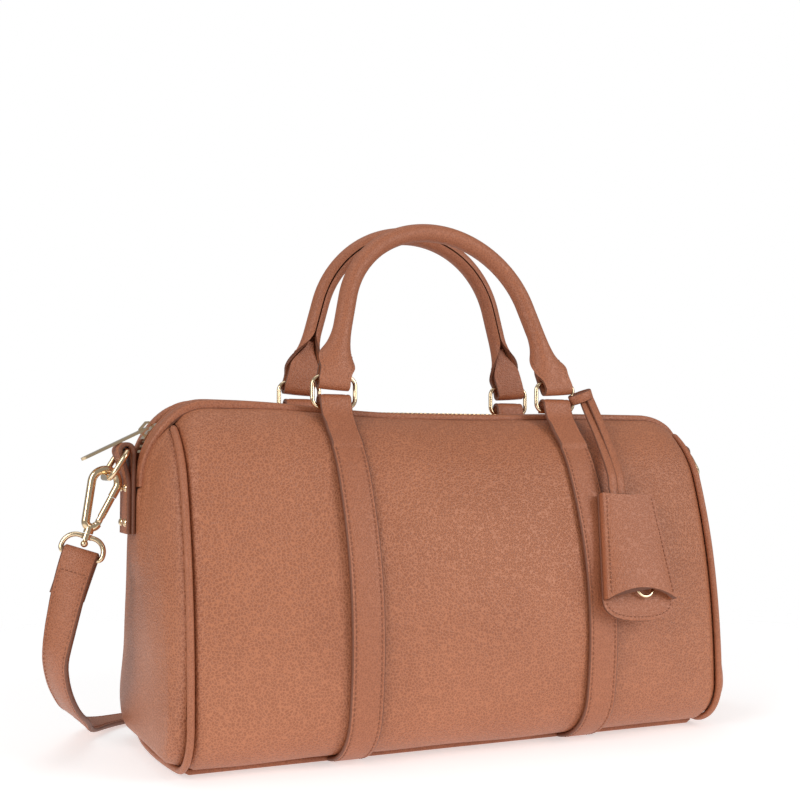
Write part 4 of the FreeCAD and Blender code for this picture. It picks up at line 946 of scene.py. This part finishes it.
# Distance of a tab's layers from the middle of the ring's bar, and the bend of fold and tab in degrees
TAB_OUT, FOLD_WRAP, TAB_WRAP = 3.2, 4, 6
HANDLE_FOLD, TONGUE_TOP, TAB_BAND, FOLD_BAND = 5.2, 34.0, 21.5, 18.5
ARC_END = (ARCH_RADIUS * cosine(SPLAY), ARCH_HEIGHT + ARCH_RADIUS * sine(SPLAY))
HANDLE_TURN = 8.65


def leg_x(height):
    """Middle of a handle's leg at a height above the rings."""
    return mix(RING_X, ARC_END[0], (height - HANDLE_TURN) / (ARC_END[1] - HANDLE_TURN))


def leg_turn(height):
    """Tilt of a handle's leg, less where it goes round the level ring."""
    return mix(4, SPLAY, ease(height, 5, 24))


def opened(height):
    """Share of the roll that has opened out at a height above the rings."""
    return 1 - ease(height, 9, 41)


def half_handle():
    """Stations of the right half, tongue first: (x, out, height, width, wrap in degrees, across turn)."""
    made = []
    for step in range(14):
        height = mix(TONGUE_TOP, HANDLE_FOLD, step / 14)
        width = 3.5 + 15 * ease(TONGUE_TOP - height, 0, 17)
        inward = mix(1.2, TAB_OUT, ease(TONGUE_TOP - height, 4, 26))
        made.append((leg_x(height), -inward, height, width, FOLD_WRAP, leg_turn(height)))
    for step in range(13):
        angle = 180 + 180 * step / 12
        made.append((leg_x(HANDLE_FOLD), TAB_OUT * cosine(angle), HANDLE_FOLD + TAB_OUT * sine(angle),
                     FOLD_BAND, FOLD_WRAP, leg_turn(HANDLE_FOLD)))
    for step in range(1, 34):
        height = mix(HANDLE_FOLD, ARC_END[1], step / 33)
        flat = opened(height)
        band = mix(FOLD_BAND, TAB_BAND, ease(height, 10.5, 17))
        made.append((leg_x(height), mix(ROLL_MIDDLE, TAB_OUT, flat), height, mix(ROLL_WIDTH, band, flat),
                     mix(ROLL_WRAP, TAB_WRAP, flat), leg_turn(height)))
    for step in range(1, 41):
        angle = mix(SPLAY, 90, step / 40)
        made.append((ARCH_RADIUS * cosine(angle), ROLL_MIDDLE, ARCH_HEIGHT + ARCH_RADIUS * sine(angle),
                     ROLL_WIDTH, ROLL_WRAP, angle))
    return made


def roll_section(width, wrap):
    """Ring of a strip bent through an angle, its outer face first."""
    bend = math.radians(max(wrap, 1))
    radius = width / bend
    outer, inner = [], []
    for step in range(25):
        turn = bend * (step / 24 - 0.5)
        for ring, reach in ((outer, radius + ROLL_SHEET / 2), (inner, radius - ROLL_SHEET / 2)):
            ring.append((reach * math.sin(turn), reach * math.cos(turn) - radius))
    return outer + list(reversed(inner))


def on_roll(width, wrap, wide):
    """Place on the outer face of a bent strip, this far across from its middle."""
    radius = width / math.radians(max(wrap, 1))
    turn = wide / radius
    reach = radius + ROLL_SHEET / 2
    return reach * math.sin(turn), reach * math.cos(turn) - radius - SUNK


# %% Handles
HANDLE_LEAN = {"front": 15.0, "back": 1.0}
ROLL_EDGES = (24, 49)


def handle_stations(side, lean):
    right = half_handle()
    left = []
    for x, out, height, width, wrap, turn in reversed(right[:-1]):
        left.append((-x, out, height, width, wrap, 180 - turn))
    turn_over = Matrix.Rotation(math.radians(side * lean), 3, "X")
    pivot = Vector((0, 0, HANDLE_TURN))
    made, sizes = [], []
    listed = right + left
    flat = [Vector((x, side * out, height)) for x, out, height, width, wrap, turn in listed]
    for index, (x, out, height, width, wrap, turn) in enumerate(listed):
        before = flat[max(index - 1, 0)]
        after = flat[min(index + 1, len(flat) - 1)]
        heading = (after - before).normalized()
        across = Vector((cosine(turn), 0, sine(turn)))
        across = (across - heading * across.dot(heading)).normalized()
        outward = across.cross(heading).normalized() * -side
        middle = turn_over @ (flat[index] - pivot) + pivot + Vector((0, side * RING_Y, RING_HEIGHT))
        made.append((middle, turn_over @ across, turn_over @ outward))
        sizes.append((width, wrap))
    return made, sizes


for face_name, side in FRONT_AND_BACK:
    stations, sizes = handle_stations(side, HANDLE_LEAN[face_name])
    handle = sweep(stations, [roll_section(*size) for size in sizes], ROLL_EDGES)
    body = f"{face_name}_handle"
    tabs = [f"{body}_{hand_name}_tab" for hand_name, hand in LEFT_AND_RIGHT]
    finish_strap(handle, f"{body}_leather", body, [body, f"{body}_core", *tabs])
    spread = len(stations)
    for hand_name, span in (("right", range(28, 40)), ("left", range(spread - 29, spread - 41, -1))):
        for edge_name, wide in INNER_AND_OUTER:
            row = []
            for index in span:
                middle, across, outward = stations[index]
                reach, high = on_roll(*sizes[index], wide * (sizes[index][0] / 2 - 2))
                row.append((middle + across * reach + outward * high, across, outward))
            stitch_row(row, f"{body}_{hand_name}_{edge_name}_stitches", body, *HANDLE_STITCH)

# %% [markdown]
# ## Side tabs
# Each end has a tab of two layers: one strap goes up the bag, makes a loop for the ring and comes down over
# itself. Four studs hold the two layers to the bag.

# %% Side tabs
TAB_INNER, TAB_LAYER, TAB_WIDTH, TAB_BOTTOM = 180.2, 2.4, 20.0, 124.0
LOOP_CENTRE, LOOP_MIDDLE = (185.1, 169.1), 3.7


def side_tab_route(side):
    near = TAB_INNER + TAB_LAYER / 2
    far = near + TAB_LAYER
    points = [(near, mix(TAB_BOTTOM, 166, step / 16)) for step in range(17)]
    for step in range(17):
        angle = mix(170, -40, step / 16)
        points.append((LOOP_CENTRE[0] + LOOP_MIDDLE * cosine(angle),
                       LOOP_CENTRE[1] + LOOP_MIDDLE * sine(angle)))
    points += [(mix(far, 186.6, ease(height, 152, 164)), height) for height in (163, 160, 157, 154)]
    points += [(far, mix(151, TAB_BOTTOM, step / 10)) for step in range(11)]
    return smoothed([Vector((side * x, 0, z)) for x, z in points], 2)


for hand_name, hand in LEFT_AND_RIGHT:
    stations = stations_along(side_tab_route(hand), Vector((0, -hand, 0)))
    ring = strap_section(TAB_WIDTH, TAB_LAYER - 0.1)
    finish_strap(strap_sweep(stations, ring), f"{hand_name}_tab_leather", "bag", [f"{hand_name}_side_tab"])
    for edge_name, wide in FRONT_AND_BACK:
        row = beside(stations[-16:-1], wide * (TAB_WIDTH / 2 - STITCH_INSET), TAB_LAYER / 2 - DEEP_SUNK)
        stitch_row(row, f"{hand_name}_tab_{edge_name}_stitches", "bag", *TAB_STITCH)

# %% [markdown]
# ## Shoulder strap
# The strap hangs from the left hook, twists, lies on the floor behind the bag and rises to the right hook.
# At each end it goes round the bar of the eye and is sewn back on itself. It is a flat strap, so it is
# modelled directly as one sweep from one cut end to the other.

# %% Strap route
STRAP_LIE = (
    ((-219.4, 0, 66.8), (0.52, -0.85, 0)), ((-219.8, 5, 54.8), (0.46, -0.89, 0)),
    ((-215.5, 16, 39.4), (0.36, -0.93, 0.03)), ((-207.5, 33, 25.4), (0.1, -0.98, 0.13)),
    ((-199, 53, 16), (-0.14, -0.97, 0.2)), ((-191, 72, 8.2), (-0.22, -0.96, 0.12)),
    ((-178.6, 90, 4.0), (-0.24, -0.97, 0.04)), ((-161, 102.5, 2.6), (-0.2, -0.98, 0)),
    ((-135, 110, 2.6), (-0.13, -0.99, 0)), ((-95, 113, 1.9), (-0.06, -1, 0)),
    ((-50, 115, 1.7), (-0.02, -1, 0)), ((0, 116, 1.7), (0, -1, 0)), ((80, 118, 1.7), (-0.04, -1, 0)),
    ((122, 115, 2.2), (-0.2, -0.98, -0.05)), ((150, 108, 3.2), (-0.43, -0.9, -0.12)),
    ((171, 96, 3.8), (-0.66, -0.75, -0.17)), ((187, 78, 5.4), (-0.81, -0.58, -0.14)),
    ((198, 57, 10), (-0.9, -0.43, -0.08)), ((205, 34, 19), (-0.89, -0.45, -0.03)),
    ((208, 15, 33), (-0.84, -0.54, 0)), ((207, 3, 50), (-0.76, -0.65, 0)),
    ((204, -1, 64.8), (-0.72, -0.69, 0)),
)
HOOK_TILT = {"left": 18.0, "right": 8.0}
EYE_TURN, EYE_BAR, FOLD_FOOT = 22.0, -41.35, -67.35
RING_DROP, RING_TILT, HOOK_HANG = 17.3, 32.0, 2.85
STRAP_BAND, STRAP_LEATHER = 19.4, 2.8
# Radius of the strap's turn round an eye bar, stations before its first stitch, half of the cross seam
BAR_LOOP, FOLD_STATIONS, CROSS_HALF = 2.75, 20, 7.5


def eye_frame(hand_name, hand):
    """Origin, across and up of a strap eye, and the direction out of its plane."""
    tilt = HOOK_TILT[hand_name]
    out, height = LOOP_CENTRE
    bar = Vector((hand * (out + RING_DROP * sine(RING_TILT)), 0, height - RING_DROP * cosine(RING_TILT)))
    up = Vector((-hand * sine(tilt), 0, cosine(tilt)))
    inward = Vector((-hand * cosine(tilt), 0, -sine(tilt)))
    turn = Matrix.Rotation(math.radians(hand * EYE_TURN), 3, up)
    across = turn @ inward
    return bar - up * HOOK_HANG, across, up, across.cross(up)


for hand_name, hand in LEFT_AND_RIGHT:
    origin, across, up, outward = eye_frame(hand_name, hand)
    print(hand_name, "eye bar at", [round(value, 1) for value in origin + up * EYE_BAR])

# %% Strap through both eyes


def curve_through(points, steps):
    """Smooth points through the given ones."""
    made = []
    padded = [points[0] * 2 - points[1]] + points + [points[-1] * 2 - points[-2]]
    for a, b, c, d in zip(padded, padded[1:], padded[2:], padded[3:]):
        for step in range(steps):
            t = step / steps
            made.append(0.5 * (b * 2 + (c - a) * t + (a * 2 - b * 5 + c * 4 - d) * t ** 2
                               + (b * 3 - a - c * 3 + d) * t ** 3))
    return made + [points[-1]]


def eye_loop(hand_name, hand):
    """Rear layer from its cut end up, round the bar and down in front: points and across directions."""
    origin, across, up, outward = eye_frame(hand_name, hand)
    face = -1 if outward.y > 0 else 1
    outward = outward * face
    flat = [(-1.55, mix(FOLD_FOOT + 3, EYE_BAR - 9, step / 6)) for step in range(7)]
    flat += [(-2.2, EYE_BAR - 5.5)]
    for step in range(11):
        angle = 180 - 180 * step / 10
        flat.append((BAR_LOOP * cosine(angle), EYE_BAR + BAR_LOOP * sine(angle)))
    flat += [(2.4, EYE_BAR - 4.5), (1.7, EYE_BAR - 9), (1.5, EYE_BAR - 14), (1.2, EYE_BAR - 20)]
    return [origin + outward * out + up * rise for out, rise in flat], across


left_loop, left_across = eye_loop("left", -1)
right_loop, right_across = eye_loop("right", 1)
lie_points = [Vector(middle) for middle, side in STRAP_LIE]
lie_across = [Vector(side) for middle, side in STRAP_LIE]
strap_points = left_loop + curve_through(lie_points, 4) + list(reversed(right_loop))
strap_across = [left_across] * len(left_loop) + curve_through(lie_across, 4)
strap_across += [right_across] * len(right_loop)
strap_stations = stations_along(smoothed(strap_points, 2), smoothed(strap_across, 12))
ring = strap_section(STRAP_BAND, STRAP_LEATHER)
finish_strap(strap_sweep(strap_stations, ring), "shoulder_strap_leather", "bag",
             ["shoulder_strap", "left_strap_fold", "right_strap_fold"])
FACE_AND_BACK = (("face", 1), ("back", -1))
face_high = STRAP_LEATHER / 2 - SUNK
sewn = strap_stations[FOLD_STATIONS:-FOLD_STATIONS]
for edge_name, wide in INNER_AND_OUTER:
    for face_name, face in FACE_AND_BACK:
        row = beside(sewn, wide * (STRAP_BAND / 2 - STITCH_INSET), face * face_high)
        row = [(middle, side, out * face) for middle, side, out in row]
        stitch_row(row, f"shoulder_strap_{edge_name}_{face_name}_stitches", "bag")
for hand_name, (middle, side, out) in (("left", sewn[0]), ("right", sewn[-1])):
    for face_name, face in FACE_AND_BACK:
        place = middle + out * face * face_high
        row = [(place + side * mix(-CROSS_HALF, CROSS_HALF, step / 6), side, out * face) for step in range(7)]
        stitch_row(row, f"{hand_name}_strap_end_{face_name}_stitches", "bag", 2.5)

# %% [markdown]
# ## Key bell
# A small leather case for the keys hangs from the front right ring. It has a back with a rounded lip and a
# domed cover with an arched mouth, through which the key ring shows.

# %% Bell frame
BELL_ORIGIN, BELL_LEAN, BELL_ROLL = Vector((94.6, -69.16, 143.0)), 16.0, -2.0
BELL_TOP_HALF, BELL_MOUTH_HALF, BELL_LENGTH, BELL_ARCH, BELL_LIP = 17.8, 24.0, 62.0, 6.0, 12.0
LIP_SQUARE = 2.5
bell_out = Vector((0, -cosine(BELL_LEAN), sine(BELL_LEAN)))
uphill = Vector((0, sine(BELL_LEAN), cosine(BELL_LEAN)))
bell_up = uphill * cosine(BELL_ROLL) - Vector((1, 0, 0)) * sine(BELL_ROLL)
bell_across = Vector((1, 0, 0)) * cosine(BELL_ROLL) + uphill * sine(BELL_ROLL)


def on_bell(across, rise, out):
    return BELL_ORIGIN + bell_across * across + bell_up * rise + bell_out * out


def bell_half(drop):
    """Half width of the bell at a drop below its top, down to the end of its lip."""
    if drop <= BELL_LENGTH:
        return mix(BELL_TOP_HALF, BELL_MOUTH_HALF, drop / BELL_LENGTH)
    past = min(1, (drop - BELL_LENGTH) / BELL_LIP)
    return BELL_MOUTH_HALF * (1 - past ** LIP_SQUARE) ** (1 / LIP_SQUARE)


for place in (on_bell(0, 0, 0), on_bell(0, -BELL_LENGTH - BELL_LIP, 0)):
    print("bell reaches", [round(value) for value in place])

# %% [markdown]
# The back is a flat piece with a rounded lip. Its rows crowd together towards the lip, so that the round
# end is drawn by many short steps.

# %% Bell back
BACK_LEATHER = 1.9
drops = [BELL_LENGTH * step / 20 for step in range(21)]
drops += [BELL_LENGTH + BELL_LIP * sine(90 * step / 20) for step in range(1, 21)]
back_stations = [(on_bell(0, -drop, BACK_LEATHER / 2), bell_across, bell_out) for drop in drops]
back_rings = [strap_section(max(2, 2 * bell_half(drop)), BACK_LEATHER, 0.8, 0.1) for drop in drops]
back = sweep(back_stations, back_rings, STRAP_EDGES)
finish_strap(back, "bell_back_leather", "key_bell", ["key_bell_back"])
lip_row = []
for step in range(49):
    angle = mix(176, 4, step / 48)
    wide = math.copysign(abs(cosine(angle)) ** (2 / LIP_SQUARE), cosine(angle))
    fall = BELL_LENGTH + (BELL_LIP - STITCH_INSET) * sine(angle) ** (2 / LIP_SQUARE)
    place = on_bell((BELL_MOUTH_HALF - STITCH_INSET) * wide, -fall, BACK_LEATHER + SUNK)
    lip_row.append((place, bell_up, bell_out))
stitch_row(lip_row, "bell_lip_stitches", "key_bell", *LIP_STITCH)

# %% [markdown]
# The cover is a padded piece, sewn to the back along both sides, where a dark line shows between the two
# layers. Its section is a closed ring: over the dome, round the soft side, and back along the inside. The
# mouth is arched, so each ring's middle is pulled up near the foot of the cover.

# %% Bell cover
COVER_FOOT, COVER_WALL, COVER_SHEET = 2.0, 3.0, 1.6
DOME_STEPS, COVER_STEPS, COVER_INSET = 20, 30, 2.6


def cover_height(share, drop):
    """How far the cover's outer face stands out, share -1 to 1 across."""
    dome = mix(7.4, 9.2, ease(drop, 0, 50))
    return mix(6.6, dome, 1 - abs(share) ** 2.4)


def cover_ring(drop):
    half = bell_half(drop)
    outside, inside = [], []
    for step in range(DOME_STEPS + 1):
        share = 1 - 2 * step / DOME_STEPS
        pull = BELL_ARCH * (1 - share ** 2) * (drop / BELL_LENGTH) ** 3
        dish = -0.9 * (1 - share ** 2) * (1 - drop / BELL_LENGTH) ** 6
        high = cover_height(share, drop)
        dip = 0.3 * (1 - ease(abs(abs(share) * half - half + COVER_INSET), 0, 1.2))
        outside.append((share * (half - 0.6), high - dip, pull + dish))
        narrow = share * (half - COVER_WALL)
        inside.append((narrow, max(COVER_FOOT + 0.2, high - COVER_SHEET), pull + dish))
    wall = [(half - 0.5, COVER_FOOT, 0), (half - 0.3, COVER_FOOT + 0.7, 0), (half, 3.6, 0), (half, 5.6, 0)]
    ring = wall + outside + [(-wide, high, along) for wide, high, along in reversed(wall)]
    ring += [(COVER_WALL - half, COVER_FOOT, 0), *reversed(inside), (half - COVER_WALL, COVER_FOOT, 0)]
    return ring


cover_drops = [BELL_LENGTH * step / COVER_STEPS for step in range(COVER_STEPS + 1)]
cover_stations = [(on_bell(0, -drop, 0), bell_across, bell_out) for drop in cover_drops]
cover = sweep(cover_stations, [cover_ring(drop) for drop in cover_drops], (0, DOME_STEPS + 7))
finish_strap(cover, "bell_cover_leather", "key_bell", ["key_bell_front"], 45)
for edge_name, wide in LEFT_AND_RIGHT:
    row = []
    for drop in cover_drops[1:-1]:
        half = bell_half(drop)
        share = 1 - COVER_INSET / half
        place = on_bell(wide * share * half, -drop, cover_height(share, drop) - SUNK)
        row.append((place, bell_across, bell_out))
    stitch_row(row, f"bell_{edge_name}_stitches", "key_bell", *COVER_STITCH)

# %% [markdown]
# ## Thong of the bell
# One narrow thong holds the bell. Its middle goes round the ring as a loop, and both legs pass through that
# loop and run down into the bell, side by side, to the key ring. All of it is flat strip with dark edges.

# %% Loop of the thong
THONG_WIDTH, THONG_THICK, THONG_REACH = 5.8, 1.3, 13.0
HITCH = Vector((91.0, -30.3, 203.2))
LOOP_REACH, LOOP_DEPTH, LOOP_RISE, LOOP_THICK = 6.8, 4.3, 0.36, 1.8
loop_points = []
for step in range(41):
    angle = mix(90, 450, step / 40)
    reach = LOOP_REACH * cosine(angle)
    loop_points.append(HITCH + Vector((reach, LOOP_DEPTH * sine(angle), LOOP_RISE * reach)))
thong_ring = strap_section(THONG_WIDTH, THONG_THICK, 0.9, 0.06)
loop_stations = stations_along(loop_points, Vector((-LOOP_RISE, 0, 1)))
loop_ring = strap_section(THONG_WIDTH + 0.4, LOOP_THICK, 0.9, 0.06)
finish_strap(strap_sweep(loop_stations, loop_ring), "thong_loop_leather", "front_right_ring",
             ["key_thong_hitch"])

# %% Legs of the thong
LEG_APART, LAYER, LEG_ASIDE, THONG_INSIDE, KEY_RING_ASIDE = 2.7, 0.8, -6.0, 4.6, 3.4
legs = []
for leg in (-1, 1):
    entry = HITCH + Vector((2.6 + leg * 1.7, -1.4, 0.4)) + bell_out * (leg * LAYER)
    knee = HITCH + Vector((3.2 + leg * 2.2, -5.6, -7)) + bell_out * (leg * LAYER)
    top = on_bell(LEG_ASIDE + leg * LEG_APART, 0, THONG_INSIDE)
    over = on_bell(LEG_ASIDE + leg * LEG_APART, THONG_REACH, THONG_INSIDE - 0.2)
    points = [entry, knee, knee.lerp(over, 0.5) + Vector((0.8, 0, 0)), over, top,
              on_bell(LEG_ASIDE * 0.5 + leg * LEG_APART, -20, THONG_INSIDE),
              on_bell(KEY_RING_ASIDE + leg * LEG_APART * 0.5, -38, THONG_INSIDE)]
    leg_stations = stations_along(curve_through(points, 8), bell_across)
    legs.append(strap_sweep(leg_stations, thong_ring))
fold_points = []
for step in range(17):
    angle = mix(80, -260, step / 16)
    drop = 49.4 - 1.9 * sine(angle) - 5.2 * ease(abs(step - 8), 5, 8)
    fold_points.append(on_bell(KEY_RING_ASIDE, -drop, THONG_INSIDE + 1.6 * cosine(angle)))
legs.append(strap_sweep(stations_along(fold_points, bell_across), thong_ring))
finish_strap(together(legs), "thong_leather", "key_thong", ["key_thong"])

# %% [markdown]
# ## Stage
# A pale floor and soft light from large lamps, as in a product studio. Where the camera sees past the floor
# the world is plain white. In a reflection it is much darker, as the dim room behind a studio's lamps is, so
# that polished metal shows bright and dark bands.

# %% Floor
FLOOR_FADE = (0.35, 0.75)


def make_floor():
    shape = bmesh.new()
    bmesh.ops.create_grid(shape, x_segments=1, y_segments=1, size=4)
    mesh = bpy.data.meshes.new("studio_floor")
    shape.to_mesh(mesh)
    shape.free()
    floor = bpy.data.objects.new("studio_floor", mesh)
    bpy.context.scene.collection.objects.link(floor)
    material, tree, shader = new_material("floor_paper")
    place = add_node(tree, "ShaderNodeTexCoord").outputs["Object"]
    far = add_node(tree, "ShaderNodeVectorMath", {0: place}, operation="LENGTH").outputs["Value"]
    feed(tree, shader, {
        "Base Color": (0.8, 0.8, 0.8, 1), "Roughness": 0.9, "Emission Color": (1, 1, 1, 1),
        "Emission Strength": 0.5, "Alpha": remap(tree, far, FLOOR_FADE, (1, 0), "SMOOTHSTEP"),
    })
    mesh.materials.append(material)


make_floor()

# %% World and lamps


def make_world(light, mirrored):
    """White to the camera, a given strength as light and another in polished metal."""
    world = bpy.data.worlds.new("studio_world")
    world.use_nodes = True
    tree = world.node_tree
    rays = add_node(tree, "ShaderNodeLightPath").outputs
    shine = remap(tree, rays["Is Glossy Ray"], (0, 1), (light, mirrored))
    seen = calculate(tree, "MAXIMUM", rays["Is Camera Ray"], rays["Is Transmission Ray"])
    strength = calculate(tree, "MAXIMUM", seen, shine)
    feed(tree, tree.nodes["Background"], {"Color": (1, 1, 1, 1), "Strength": strength})
    bpy.context.scene.world = world


def make_lamp(name, place, target, size, power):
    light = bpy.data.lights.new(name, "AREA")
    light.shape = "RECTANGLE"
    light.size, light.size_y = size
    light.energy = power
    lamp = bpy.data.objects.new(name, light)
    bpy.context.scene.collection.objects.link(lamp)
    lamp.location = Vector(place)
    lamp.rotation_euler = (Vector(target) - Vector(place)).to_track_quat("-Z", "Y").to_euler()


make_world(light=0.4, mirrored=0.32)
make_lamp("right_softbox", (1.2, -1.5, 0.8), (0, 0, 0.1), (0.8, 1.2), 16)
make_lamp("left_softbox", (-1.6, -0.9, 0.8), (-0.1, 0, 0.1), (0.8, 1.2), 14)
make_lamp("top_softbox", (-0.2, 0.2, 1.8), (0, 0, 0.1), (1.4, 1.0), 4)
